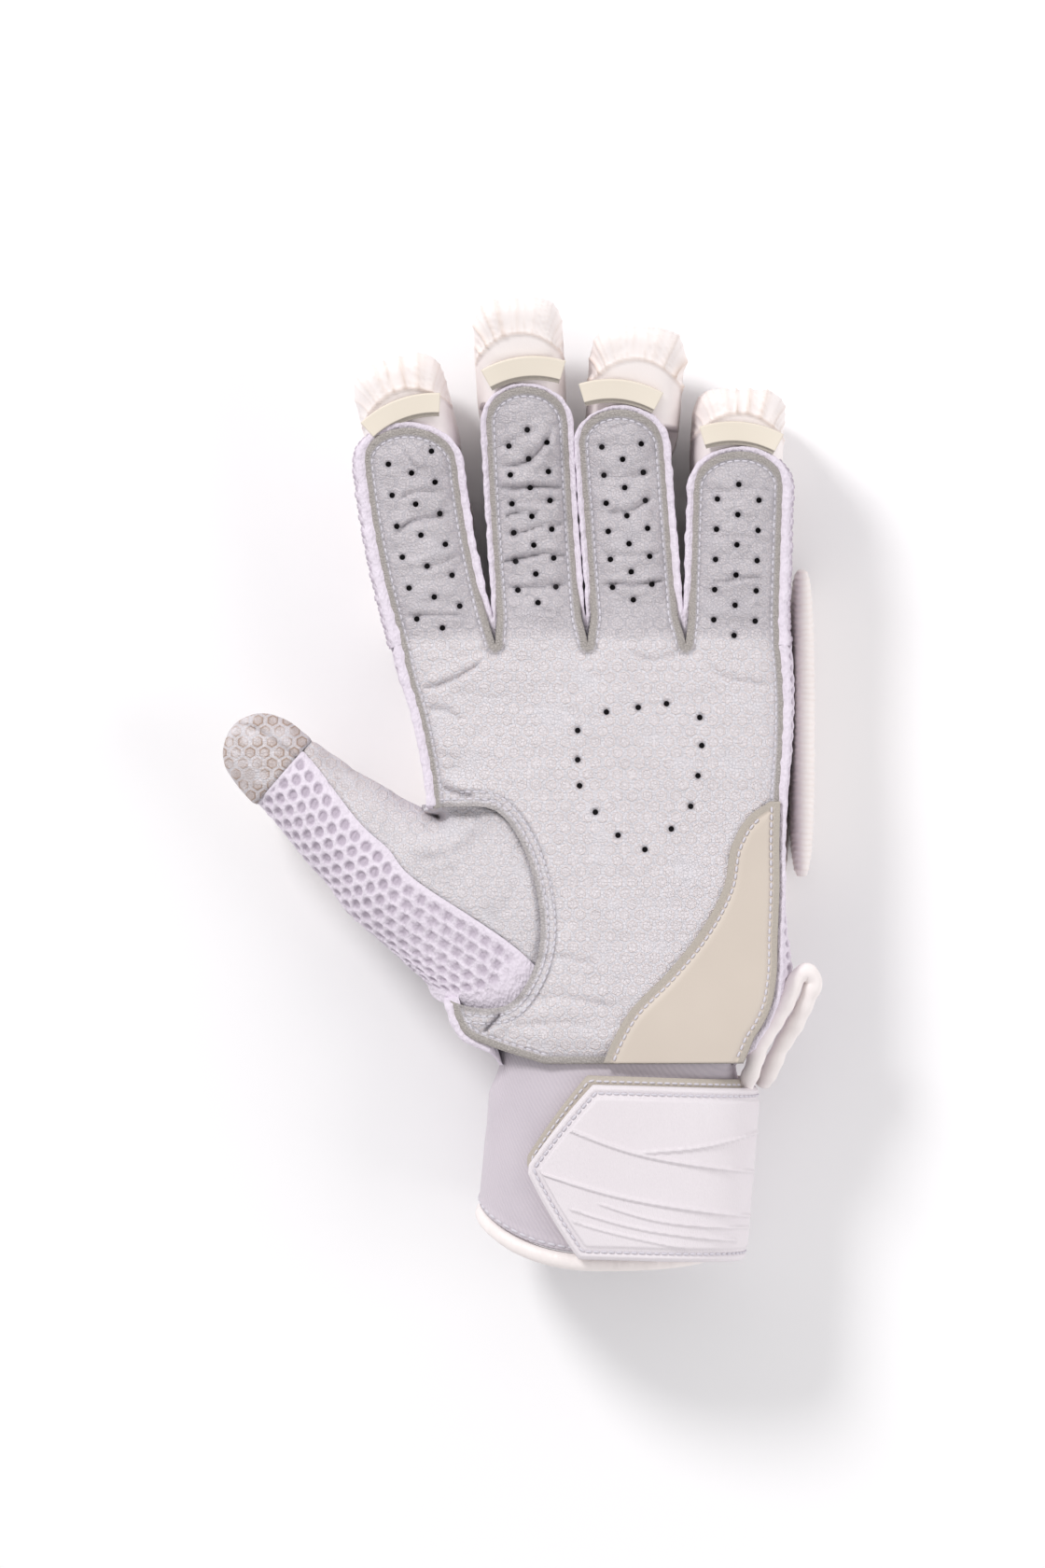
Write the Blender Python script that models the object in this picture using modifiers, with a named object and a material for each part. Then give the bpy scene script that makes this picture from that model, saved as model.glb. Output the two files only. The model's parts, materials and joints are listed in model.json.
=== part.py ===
"""A cricket batting glove for the left hand, lying on its back with the palm up.

Metres. +X runs from the thumb to the little finger, +Y from the wrist to the
fingertips and +Z out of the palm. The glove stands on its padded rolls at z = 0.
Until the last step, x = 0 is the middle of the four finger roots and y = 0 is the
knuckle line, where the finger gaps end; the last step moves the origin under the
middle of the finished glove.
"""

import math

import bmesh
import bpy
from mathutils import Matrix, Vector

MM = 0.001

# Sheets and clearances.
LEATHER = 1.6 * MM
MESH_WALL = 1.8 * MM
SEAM_GAP = 0.4 * MM
WELD = 0.01 * MM
SLIVER = 0.005 * MM

# The fingers. Each row: width of the root in the palm, width of the leather front,
# length from the knuckle line to the tip of the leather, sideways lean at the root
# and how far the tip bends back from that lean.
FINGERS = {
    "index": dict(root=26.8 * MM, front=26.6 * MM, length=60.3 * MM, lean=-16.7, bend=7.0 * MM),
    "middle": dict(root=25.7 * MM, front=23.5 * MM, length=71.5 * MM, lean=-5.1, bend=1.9 * MM),
    "ring": dict(root=27.3 * MM, front=24.3 * MM, length=65.3 * MM, lean=-4.4, bend=0.0 * MM),
    "little": dict(root=26.8 * MM, front=25.7 * MM, length=53.8 * MM, lean=1.7, bend=0.0 * MM),
}

# The padded caps and the rolls behind them. Each row: reach past the leather, sideways
# shift and turn of the cap, sideways shift of the rolls, and turn of the hide tab.
CAPS = {
    "index": dict(reach=20.0 * MM, shift=0.6 * MM, turn=14.0, roll_shift=2.2 * MM, tab_turn=20.0),
    "middle": dict(reach=24.7 * MM, shift=-1.2 * MM, turn=3.0, roll_shift=0.0, tab_turn=6.0),
    "ring": dict(reach=23.6 * MM, shift=4.4 * MM, turn=-4.0, roll_shift=1.2 * MM, tab_turn=-6.0),
    "little": dict(reach=17.9 * MM, shift=0.0, turn=-2.0, roll_shift=0.0, tab_turn=-5.0),
}
TIP_ROUND = 9.9 * MM
CROTCH_LENGTH = 9.0 * MM
FINGER_DEPTH = 20.5 * MM
FINGER_CROWN = 3.0 * MM
CHANNEL_CORNER = 6.0 * MM
CHANNEL_WALL_LEAST = 2.0 * MM
CORNER_SHARE = 0.8
CORNER_BULGE = 0.6
OUTER_BULGE = 2.6 * MM
CURL = 7.0 * MM
CURL_START = 30.0 * MM
CURL_SPAN = 41.5 * MM

# The padded rolls under the fingers and the back of the hand.
ROLL_THICKNESS = 20.0 * MM
REST_SQUASH = 2.8 * MM
ROLL_SPLIT = 26.0 * MM
ROLL_SPLIT_SHARE = 0.55
ROLL_GROOVE = 1.0 * MM
ROLL_SQUARENESS = 0.62
ROLL_FACETS = dict(around=10, along=6)
CAP_SQUARENESS = 0.5
CAP_FACETS = dict(around=14, along=8)
CAP_GRIP = 4.5 * MM
CAP_SHOULDER = 1.2 * MM
HAND_ROLL_LENGTH = 78.0 * MM
HAND_ROLL_COUNT = 4
HAND_ROLL_LEFT_AT = 0.3
HAND_ROLL_RIGHT_AT = 0.2
SIDE_ROLL_WIDTH = 7.2 * MM
SIDE_ROLL_LENGTH = 87.0 * MM
SIDE_ROLL_HEIGHT = 34.0 * MM
SIDE_ROLL_NEST = 0.9 * MM
SIDE_ROLL_START = 22.0 * MM
SIDE_ROLL_SQUARENESS = 0.75
SIDE_ROLL_FACETS = dict(around=12, along=9)
WRIST_ROLL_LENGTH = 32.0 * MM
WRIST_ROLL_AT = 0.9

# The tabs of thin hide across the fingertips.
TAB_SPAN = 19.5 * MM
TAB_WIDTH = 5.3 * MM
TAB_RADIUS = 25.0 * MM
TAB_THICKNESS = 1.0 * MM
TAB_SET_BACK = 2.8 * MM
TAB_FACETS = 6

# The palm. Columns: share of PALM_LENGTH below the knuckle line, and the left and
# right edges as shares of the width of the four roots, from their middle.
PALM_LENGTH = 116.5 * MM
HEEL_RISE = 5.0 * MM
PALM_CROWN = 5.0 * MM
CROWN_END = 0.8
STRIPS_PER_FINGER = 4
PALM_EDGES = (
    dict(down=0.000, left=-0.500, right=0.500),
    dict(down=0.067, left=-0.485, right=0.507),
    dict(down=0.157, left=-0.456, right=0.510),
    dict(down=0.246, left=-0.434, right=0.507),
    dict(down=0.336, left=-0.417, right=0.500),
    dict(down=0.470, left=-0.407, right=0.495),
    dict(down=0.582, left=-0.398, right=0.495),
    dict(down=0.694, left=-0.388, right=0.490),
    dict(down=0.805, left=-0.376, right=0.485),
    dict(down=0.861, left=-0.363, right=0.473),
    dict(down=0.906, left=-0.346, right=0.451),
    dict(down=0.940, left=-0.312, right=0.427),
    dict(down=0.966, left=-0.239, right=0.415),
    dict(down=1.000, left=-0.120, right=0.398),
)
# The ventilation holes: single holes and pairs in turn up each finger, and a ring on
# the palm. Columns: where a finger's first row lies, the pitch and number of its rows;
# for the ring, shares of the width of the four roots and of PALM_LENGTH.
VENT_WIDTH = 1.7 * MM
VENT_SIDES = 4
FINGER_VENT_SPREAD = 0.45
FINGER_VENTS = {
    "index": dict(start=4.7 * MM, pitch=4.3 * MM, rows=12),
    "middle": dict(start=11.7 * MM, pitch=4.0 * MM, rows=13),
    "ring": dict(start=12.5 * MM, pitch=3.9 * MM, rows=12),
    "little": dict(start=2.6 * MM, pitch=4.2 * MM, rows=11),
}
PALM_VENTS = (
    dict(across=0.041, down=0.161),
    dict(across=0.124, down=0.150),
    dict(across=0.198, down=0.141),
    dict(across=0.285, down=0.174),
    dict(across=0.290, down=0.241),
    dict(across=0.280, down=0.313),
    dict(across=0.261, down=0.386),
    dict(across=0.210, down=0.440),
    dict(across=0.141, down=0.489),
    dict(across=0.071, down=0.455),
    dict(across=0.012, down=0.400),
    dict(across=-0.029, down=0.337),
    dict(across=-0.034, down=0.275),
    dict(across=-0.034, down=0.205),
)

# The mesh back of the hand: shares of PALM_LENGTH at which its rows lie. Its left wall
# is gone between the two thumb gates, and its heel stays inside the cuff's neck.
HAND_MESH_ROWS = (0.0, 0.157, 0.336, 0.385, 0.405, 0.54, 0.694, 0.80, 0.85, 0.89, 0.93, 0.96)
THUMB_GATE_TOP = dict(down=0.385, fade=0.02)
THUMB_GATE_END = dict(down=0.80, fade=0.06)
HEEL_MESH_LEFT = -0.40

PATCH_THICKNESS = 1.0 * MM
PATCH_COLUMNS = 4
PATCH_EDGES = (
    dict(down=0.374, left=0.470),
    dict(down=0.403, left=0.422),
    dict(down=0.425, left=0.400),
    dict(down=0.470, left=0.373),
    dict(down=0.582, left=0.346),
    dict(down=0.694, left=0.278),
    dict(down=0.783, left=0.198),
    dict(down=0.873, left=0.102),
    dict(down=0.940, left=0.059),
    dict(down=0.997, left=0.032),
)

# The thumb: a tube sewn into the palm along its base, which climbs from the edge of
# the hand onto the palm. Columns of the base: angle round the thumb, place across
# and down the palm, and height from the back sheet (0) to the palm's edge (1).
THUMB_LENGTH = 61.0 * MM
THUMB_WIDTH = 37.4 * MM
THUMB_DEPTH = 27.0 * MM
THUMB_TURN = 139.0
THUMB_ROOT_ACROSS = -0.510
THUMB_ROOT_DOWN = 0.537
THUMB_DROOP = 2.0 * MM
THUMB_HOLE_LIP = 1.0 * MM
THUMB_ROOM = 4.0 * MM
THUMB_CLEARANCE = 1.3 * MM
THUMB_RAISE = 2.0 * MM
THUMB_STEPS = 8
THUMB_LEATHER_FACETS = 7
THUMB_MESH_FACETS = 10
THUMB_BASE_CENTRE = dict(across=-0.30, down=0.62)
THUMB_BASE = (
    dict(angle=0, across=-0.432, down=0.398, height=0.80),
    dict(angle=30, across=-0.352, down=0.391, height=0.98),
    dict(angle=60, across=-0.239, down=0.407, height=1.12),
    dict(angle=90, across=-0.159, down=0.537, height=1.22),
    dict(angle=110, across=-0.134, down=0.671, height=1.24),
    dict(angle=135, across=-0.163, down=0.794, height=1.18),
    dict(angle=155, across=-0.227, down=0.859, height=1.08),
    dict(angle=170, across=-0.312, down=0.862, height=0.98),
    dict(angle=185, across=-0.392, down=0.835, height=0.82),
    dict(angle=215, across=-0.420, down=0.761, height=0.40),
    dict(angle=270, across=-0.430, down=0.582, height=0.10),
    dict(angle=325, across=-0.436, down=0.447, height=0.40),
)
THUMB_ROWS = (
    dict(along=0.00, wide=1.000, deep=1.00),
    dict(along=0.23, wide=0.835, deep=0.93),
    dict(along=0.48, wide=0.710, deep=0.86),
    dict(along=0.68, wide=0.620, deep=0.78),
    dict(along=0.80, wide=0.570, deep=0.70),
    dict(along=0.90, wide=0.470, deep=0.56),
    dict(along=0.97, wide=0.280, deep=0.33),
)
THUMB_TIP_SHARE = 0.68
THUMB_SEAM_UNDER = -48.0
THUMB_SEAM = (
    dict(step=0.000, angle=128.0),
    dict(step=0.125, angle=112.0),
    dict(step=0.250, angle=86.0),
    dict(step=0.500, angle=79.0),
    dict(step=0.625, angle=74.0),
    dict(step=0.750, angle=65.0),
    dict(step=1.000, angle=45.0),
)
THUMB_PAD_THICKNESS = 14.0 * MM
THUMB_PAD_LIFT = 1.0 * MM
THUMB_PAD_CLEARANCE = 1.1 * MM
THUMB_PAD_SINK = 2.7 * MM
THUMB_PADS = (
    dict(along=0.16, length=0.40, wide=0.78),
    dict(along=0.60, length=0.42, wide=0.62),
)

# The cuff, its binding and the strap that closes it.
CUFF_LENGTH = 52.5 * MM
CUFF_WIDTH = 71.0 * MM
CUFF_DEPTH = 44.0 * MM
CUFF_WALL = 2.2 * MM
CUFF_TUCK = 3.6 * MM
CUFF_NECK = 14.0 * MM
CUFF_NECK_SHARE = 0.93
CUFF_FLARE = 10.0 * MM
CUFF_SQUARENESS = 0.85
CUFF_ROWS = (0.0, 0.07, 0.13, 0.19, 0.26, 1.0)
CUFF_FACETS = 28
CUFF_LIFT = 8.0 * MM
CUFF_CENTRE = 0.072
CUFF_LEAN = 4.3 * MM
HEM_LIFT = 8.0 * MM
CUFF_SLANT = 10.0 * MM
BINDING_WIDTH = 4.7 * MM
BINDING_THICKNESS = 3.8 * MM
STRAP_WIDTH = 48.4 * MM
STRAP_THICKNESS = 2.0 * MM
STRAP_START = 121.0
STRAP_CORNER = 97.0
STRAP_END = -77.0
STRAP_DROP = 5.7 * MM
STRAP_TILT = 1.5 * MM
STRAP_POINT = 0.05
TAPE_THICKNESS = 1.2 * MM
TAPE_SHIFT = 2.4 * MM
TAPE_LEAD = 3.0

# The rounded binding that folds back on itself beside the heel. Columns: share of
# PALM_LENGTH below the knuckle line, how far it lies outside the palm's edge, and height.
PIPING_RADIUS = 1.9 * MM
PIPING_ROUTE = (
    dict(down=1.020, outside=2.6 * MM, height=43.0 * MM),
    dict(down=0.960, outside=2.6 * MM, height=42.5 * MM),
    dict(down=0.900, outside=3.2 * MM, height=41.5 * MM),
    dict(down=0.840, outside=4.4 * MM, height=40.5 * MM),
    dict(down=0.797, outside=6.0 * MM, height=40.0 * MM),
    dict(down=0.783, outside=8.4 * MM, height=39.5 * MM),
    dict(down=0.800, outside=10.4 * MM, height=38.5 * MM),
    dict(down=0.850, outside=9.8 * MM, height=37.5 * MM),
    dict(down=0.910, outside=9.4 * MM, height=36.5 * MM),
    dict(down=0.970, outside=9.0 * MM, height=35.5 * MM),
    dict(down=1.010, outside=8.6 * MM, height=34.5 * MM),
)

ROOT_WIDTH = sum(row["root"] for row in FINGERS.values())
BACK_Z = ROLL_THICKNESS + SEAM_GAP
RIM_Z = BACK_Z + FINGER_DEPTH
EDGE_Z = RIM_Z + SEAM_GAP
BIG = 1.0

LOOKS = {
    "palm_leather": ((0.66, 0.65, 0.68), 0.75),
    "white_leather": ((0.90, 0.87, 0.86), 0.45),
    "mesh_fabric": ((0.84, 0.80, 0.87), 0.90),
    "cream_hide": ((0.74, 0.69, 0.58), 0.60),
    "knit": ((0.74, 0.72, 0.78), 0.92),
    "strap_rubber": ((0.88, 0.86, 0.88), 0.40),
}


def material(name):
    """One finish, made the first time it is asked for."""
    found = bpy.data.materials.get(name)
    if found:
        return found
    made = bpy.data.materials.new(name)
    made.use_nodes = True
    shader = made.node_tree.nodes["Principled BSDF"]
    colour, roughness = LOOKS[name]
    shader.inputs["Base Color"].default_value = (*colour, 1.0)
    shader.inputs["Roughness"].default_value = roughness
    shader.inputs["Metallic"].default_value = 0.0
    return made


def smooth_step(value):
    """0 below 0, 1 above 1 and a smooth rise between."""
    value = min(1.0, max(0.0, value))
    return value * value * (3 - 2 * value)


def from_rows(rows, key, column, at):
    """A column of a table read at a place between its rows."""
    for low, high in zip(rows, rows[1:]):
        if at <= high[key]:
            share = (at - low[key]) / (high[key] - low[key])
            share = min(1.0, max(0.0, share))
            return low[column] + (high[column] - low[column]) * share
    return rows[-1][column]


def lift(y):
    """How far the curl of the fingers raises the glove at this place along it."""
    reach = max(0.0, y - CURL_START) / CURL_SPAN
    return CURL * reach * reach


def heel_rise(y):
    """How far the edge of the palm climbs towards the heel of the hand."""
    return HEEL_RISE * smooth_step(-y / PALM_LENGTH)


def finger_middle(name, s):
    """The x of a finger's centre line at a distance s beyond the knuckle line."""
    left = -ROOT_WIDTH / 2
    for other, row in FINGERS.items():
        if other == name:
            break
        left += row["root"]
    row = FINGERS[name]
    share = s / row["length"]
    lean = math.tan(math.radians(row["lean"])) * s
    return left + row["root"] / 2 + lean + row["bend"] * share * share


def finger_half(name, s, grow=0.0):
    """Half the width of a finger's leather at s: a rounded end on a straight strip."""
    row = FINGERS[name]
    opening = smooth_step(s / CROTCH_LENGTH)
    half = row["root"] / 2 + (row["front"] - row["root"]) / 2 * opening
    half = half + grow * opening
    past = (s - (row["length"] - TIP_ROUND)) / (TIP_ROUND + grow)
    if past <= 0:
        return half
    return half * math.sqrt(max(0.0, 1 - past * past))


def finger_stations(name, straight, rounded, start=0.0, grow=0.0):
    """Distances along a finger, even on the strip and closing up round its end."""
    row = FINGERS[name]
    turn = row["length"] - TIP_ROUND
    found = [start + (turn - start) * i / straight for i in range(straight)]
    for i in range(rounded + 1):
        angle = math.pi / 2 * i / rounded
        found.append(turn + (TIP_ROUND + grow) * math.sin(angle))
    return found


def palm_edge(y, side):
    """The x of the palm's left or right edge at this y, below the knuckle line."""
    return ROOT_WIDTH * from_rows(PALM_EDGES, "down", side, -y / PALM_LENGTH)


def palm_top(x, y):
    """Height of the palm leather's outer face: crowned fingers that run into a crowned palm."""
    edge = EDGE_Z + LEATHER + lift(y) + heel_rise(y)
    level = min(0.0, max(y, -CROWN_END * PALM_LENGTH))
    left, right = palm_edge(level, "left"), palm_edge(level, "right")
    share = (2 * x - left - right) / (right - left)
    palm = PALM_CROWN * max(0.0, 1 - share * share)
    if y <= 0:
        return edge + palm
    finger = 0.0
    for name, row in FINGERS.items():
        if y > row["length"]:
            continue
        across = (x - finger_middle(name, y)) / (row["front"] / 2)
        finger = max(finger, FINGER_CROWN * max(0.0, 1 - across * across))
    merge = smooth_step(y / (2 * CROTCH_LENGTH))
    return edge + palm * (1 - merge) + finger * merge


def new_object(name, mesh, finish):
    """Puts a mesh in the glove's collection under its own name."""
    made = bpy.data.objects.new(name, mesh)
    mesh.materials.clear()
    mesh.materials.append(material(finish))
    glove.objects.link(made)
    return made


def skin(name, rings, finish, closed_rings=False, caps=False):
    """Lofts a surface through rings of points, and welds points that fall together."""
    bm = bmesh.new()
    grid = [[bm.verts.new(point) for point in ring] for ring in rings]
    count = len(rings[0])
    last = count if closed_rings else count - 1
    for low, high in zip(grid, grid[1:]):
        for i in range(last):
            j = (i + 1) % count
            bm.faces.new((low[i], low[j], high[j], high[i]))
    if caps:
        bm.faces.new(grid[0][::-1])
        bm.faces.new(grid[-1])
    bmesh.ops.remove_doubles(bm, verts=bm.verts, dist=WELD)
    bmesh.ops.dissolve_degenerate(bm, edges=bm.edges, dist=SLIVER)
    bmesh.ops.recalc_face_normals(bm, faces=bm.faces)
    mesh = bpy.data.meshes.new(name)
    bm.to_mesh(mesh)
    bm.free()
    mesh.shade_smooth()
    return new_object(name, mesh, finish)


def walled(name, outer, inner, finish, closed_rings=False, closed_end=False):
    """A wall between an outer and an inner grid of points, closed along its free edges."""
    bm = bmesh.new()
    grids = [[[bm.verts.new(point) for point in ring] for ring in grid] for grid in (outer, inner)]
    rows, count = len(outer), len(outer[0])
    last = count if closed_rings else count - 1
    for grid in grids:
        for i in range(rows - 1):
            for j in range(last):
                k = (j + 1) % count
                bm.faces.new((grid[i][j], grid[i][k], grid[i + 1][k], grid[i + 1][j]))
    first, second = grids
    for i in (0,) if closed_end else (0, rows - 1):
        for j in range(last):
            k = (j + 1) % count
            bm.faces.new((first[i][j], first[i][k], second[i][k], second[i][j]))
    for j in () if closed_rings else (0, count - 1):
        for i in range(rows - 1):
            bm.faces.new((first[i][j], first[i + 1][j], second[i + 1][j], second[i][j]))
    bmesh.ops.remove_doubles(bm, verts=bm.verts, dist=WELD)
    bmesh.ops.dissolve_degenerate(bm, edges=bm.edges, dist=SLIVER)
    bmesh.ops.recalc_face_normals(bm, faces=bm.faces)
    if bm.calc_volume(signed=True) < 0:
        bmesh.ops.reverse_faces(bm, faces=bm.faces)
    mesh = bpy.data.meshes.new(name)
    bm.to_mesh(mesh)
    bm.free()
    mesh.shade_smooth()
    return new_object(name, mesh, finish)


def thicken(target, thickness, offset):
    """Gives an open surface a wall. Offset -1 grows it against the normals, 1 along them."""
    wall = target.modifiers.new("Wall", "SOLIDIFY")
    wall.thickness = thickness
    wall.offset = offset
    wall.use_even_offset = False
    return target


def cut(target, cutter):
    """Takes one solid out of another."""
    knife = target.modifiers.new("Cut", "BOOLEAN")
    knife.operation = "DIFFERENCE"
    knife.object = cutter
    cutter.hide_render = True
    cutter.display_type = "WIRE"
    for collection in list(cutter.users_collection):
        collection.objects.unlink(cutter)
    cutters.objects.link(cutter)


def facing(target, direction):
    """Turns an open surface's normals so that they point along a direction on the whole."""
    mesh = target.data
    total = sum((face.normal * face.area for face in mesh.polygons), Vector())
    if total.dot(direction) < 0:
        mesh.flip_normals()
    return target


def panel(name, x_of_row, ys, top, columns, finish, thickness):
    """A sheet in rows: each row spans the palm between two edges, at the height of top."""
    rings = []
    for y in ys:
        left, right = x_of_row(y)
        row = [left + (right - left) * i / columns for i in range(columns + 1)]
        rings.append([Vector((x, y, top(x, y))) for x in row])
    sheet = facing(skin(name, rings, finish), Vector((0, 0, 1)))
    return thicken(sheet, thickness, -1)


def thumb_axis():
    """The thumb's direction and the direction across it, both level."""
    turn = math.radians(THUMB_TURN)
    along = Vector((math.cos(turn), math.sin(turn), 0))
    across = Vector((math.sin(turn), -math.cos(turn), 0))
    return along, across


def thumb_base_point(angle, grow=0.0):
    """A point of the seam round the thumb's base."""
    rows = THUMB_BASE + (dict(THUMB_BASE[0], angle=360),)
    across = from_rows(rows, "angle", "across", angle)
    down = from_rows(rows, "angle", "down", angle)
    height = from_rows(rows, "angle", "height", angle)
    centre = THUMB_BASE_CENTRE
    middle = Vector((centre["across"] * ROOT_WIDTH, -centre["down"] * PALM_LENGTH, 0))
    point = Vector((across * ROOT_WIDTH, -down * PALM_LENGTH, 0))
    outward = (point - middle).normalized() * grow
    rise = BACK_Z + height * (FINGER_DEPTH + heel_rise(point.y)) + grow * math.sin(math.radians(angle))
    return Vector((point.x + outward.x, point.y + outward.y, rise))


def thumb_point(angle, along_share, grow=0.0):
    """A point of the free part of the thumb, as an ellipse round its axis."""
    along, across = thumb_axis()
    wide = from_rows(THUMB_ROWS, "along", "wide", along_share) * THUMB_WIDTH / 2 + grow
    deep = from_rows(THUMB_ROWS, "along", "deep", along_share) * THUMB_DEPTH / 2 + grow
    centre = thumb_root(thumb_height()) + along * THUMB_LENGTH * along_share
    centre.z -= THUMB_DROOP * along_share
    turn = math.radians(angle)
    point = centre + across * wide * math.cos(turn)
    point.z += deep * math.sin(turn)
    return point


def thumb_height():
    """Height of the thumb's axis: its underside lies on its pads."""
    return THUMB_PAD_THICKNESS + SEAM_GAP + THUMB_DEPTH / 2 + THUMB_DROOP + THUMB_RAISE


def thumb_root(height):
    """Where the thumb's axis starts, at a height over the ground."""
    return Vector((THUMB_ROOT_ACROSS * ROOT_WIDTH, -THUMB_ROOT_DOWN * PALM_LENGTH, height))


def thumb_seam(share):
    """Angle of the seam between the thumb's leather and its mesh, from base (0) to tip (1)."""
    return from_rows(THUMB_SEAM, "step", "angle", share)


def thumb_angles(step, gap=0.0):
    """The angles of a ring's corners: round the leather and round the mesh, a gap apart."""
    seam = thumb_seam(step / THUMB_STEPS)
    found = []
    for low, high, count in (
        (THUMB_SEAM_UNDER, seam, THUMB_LEATHER_FACETS),
        (seam, THUMB_SEAM_UNDER + 360, THUMB_MESH_FACETS),
    ):
        low, high = low + gap, high - gap
        found.append([low + (high - low) * i / count for i in range(count + 1)])
    return found


def thumb_ring(step, angles, grow=0.0):
    """Ring number step of the thumb's side: the first is its sewn base, the rest are ellipses."""
    blend = min(1.0, step / 2)
    share = max(0.0, (step - 2) / (THUMB_STEPS - 2)) * THUMB_TIP_SHARE
    ring = []
    for angle in angles:
        free = thumb_point(angle, share, grow)
        base = thumb_base_point(angle % 360, grow)
        ring.append(base.lerp(free, smooth_step(blend)))
    return ring


def make_palm():
    """The palm leather with its four finger fronts, in one piece, with the thumb's hole cut out."""
    per_finger = STRIPS_PER_FINGER
    rings = []
    for row in PALM_EDGES:
        y = -row["down"] * PALM_LENGTH
        left, right = ROOT_WIDTH * row["left"], ROOT_WIDTH * row["right"]
        count = per_finger * len(FINGERS)
        xs = [left + (right - left) * i / count for i in range(count + 1)]
        rings.append([Vector((x, y, palm_top(x, y))) for x in xs])
    roots = []
    left = -ROOT_WIDTH / 2
    for row in FINGERS.values():
        roots += [left + row["root"] * i / per_finger for i in range(per_finger)]
        left += row["root"]
    roots.append(left)
    rings[0] = [Vector((x, 0, palm_top(x, 0))) for x in roots]
    palm = skin("palm_leather", rings, "palm_leather")
    bm = bmesh.new()
    bm.from_mesh(palm.data)
    for name in FINGERS:
        grid = []
        for s in finger_stations(name, 6, 4):
            middle, half = finger_middle(name, s), finger_half(name, s)
            row = [middle + half * (2 * i / per_finger - 1) for i in range(per_finger + 1)]
            grid.append([bm.verts.new((x, s, palm_top(x, s))) for x in row])
        for low, high in zip(grid, grid[1:]):
            for i in range(per_finger):
                bm.faces.new((low[i], low[i + 1], high[i + 1], high[i]))
    bmesh.ops.remove_doubles(bm, verts=bm.verts, dist=2 * WELD)
    bmesh.ops.dissolve_degenerate(bm, edges=bm.edges, dist=SLIVER)
    bmesh.ops.recalc_face_normals(bm, faces=bm.faces)
    bm.to_mesh(palm.data)
    bm.free()
    facing(palm, Vector((0, 0, 1)))
    thicken(palm, LEATHER, -1)
    cut(palm, thumb_hole())
    cut(palm, vent_cutter())


def vent_places():
    """The places of the ventilation holes: a ring on the palm, then rows up each finger."""
    places = [(row["across"] * ROOT_WIDTH, -row["down"] * PALM_LENGTH) for row in PALM_VENTS]
    for name, row in FINGERS.items():
        vents = FINGER_VENTS[name]
        slant = -math.tan(math.radians(row["lean"]))
        for number in range(vents["rows"]):
            s = vents["start"] + vents["pitch"] * number
            shares = (0.0,) if number % 2 == 0 else (-FINGER_VENT_SPREAD, FINGER_VENT_SPREAD)
            for share in shares:
                aside = row["front"] / 2 * share
                places.append((finger_middle(name, s) + aside, s + aside * slant))
    return places


def vent_cutter():
    """A square pin through the palm leather at each ventilation hole."""
    bm = bmesh.new()
    for x, y in vent_places():
        pin = bmesh.ops.create_cone(
            bm,
            cap_ends=True,
            segments=VENT_SIDES,
            radius1=VENT_WIDTH / 2,
            radius2=VENT_WIDTH / 2,
            depth=FINGER_DEPTH,
        )
        bmesh.ops.translate(bm, verts=pin["verts"], vec=Vector((x, y, palm_top(x, y))))
    mesh = bpy.data.meshes.new("vent_pins")
    bm.to_mesh(mesh)
    bm.free()
    return new_object("vent_pins", mesh, "palm_leather")


def thumb_hole():
    """A prism over the thumb's base, open to the side of the hand."""
    outline = [thumb_base_point(angle, SEAM_GAP) for angle in range(0, 186, 15)]
    first, last = outline[0], outline[-1]
    far = -ROOT_WIDTH
    points = [(far, first.y + THUMB_HOLE_LIP)] + [(p.x, p.y) for p in outline] + [(far, last.y)]
    low = [Vector((x, y, 0)) for x, y in points]
    high = [Vector((x, y, 2 * EDGE_Z)) for x, y in points]
    return skin("thumb_hole", [low, high], "palm_leather", closed_rings=True, caps=True)


def channel_section(left, right, low, rim_left, rim_right, y, corner, bulge_left, bulge_right):
    """A U across the glove: rim, wall, rounded corner, floor, corner, wall, rim."""
    half = (right - left) / 2
    corner = min(corner, half)
    points = []
    for side, edge, rim, bulge in ((1, left, rim_left, bulge_left), (-1, right, rim_right, bulge_right)):
        rise = max(rim - low, CHANNEL_WALL_LEAST)
        inner = min(corner, rise * CORNER_SHARE)
        wall = [Vector((edge, y, low + rise))]
        wall.append(Vector((edge - side * bulge, y, low + (inner + rise) / 2)))
        for turn in (0, 45, 90):
            angle = math.radians(turn)
            cosine = math.cos(angle)
            x = edge - side * bulge * CORNER_BULGE * cosine + side * corner * (1 - cosine)
            wall.append(Vector((x, y, low + inner * (1 - math.sin(angle)))))
        points.append(wall)
    floor = [points[0][-1].lerp(points[1][-1], 0.5)]
    return points[0] + floor + points[1][::-1]


def make_channels():
    """The mesh sides and back of each finger: a channel closed round the fingertip."""
    names = list(FINGERS)
    for name in names:
        rings = []
        for s in finger_stations(name, 5, 4, SEAM_GAP):
            middle, half = finger_middle(name, s), max(finger_half(name, s), 0.0)
            half = half - SEAM_GAP / 2 * (1 - smooth_step(s / CROTCH_LENGTH))
            fade = min(1.0, half / (FINGERS[name]["front"] / 2))
            left_bulge = OUTER_BULGE * fade if name == names[0] else 0.0
            right_bulge = OUTER_BULGE * fade if name == names[-1] else 0.0
            low = BACK_Z + lift(s)
            rim = RIM_Z + lift(s)
            left, right = middle - half, middle + half
            rings.append(
                channel_section(left, right, low, rim, rim, s, CHANNEL_CORNER, left_bulge, right_bulge)
            )
        channel = skin(f"{name}_mesh", rings, "mesh_fabric")
        facing_out(channel)
        thicken(channel, MESH_WALL, -1)


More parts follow.
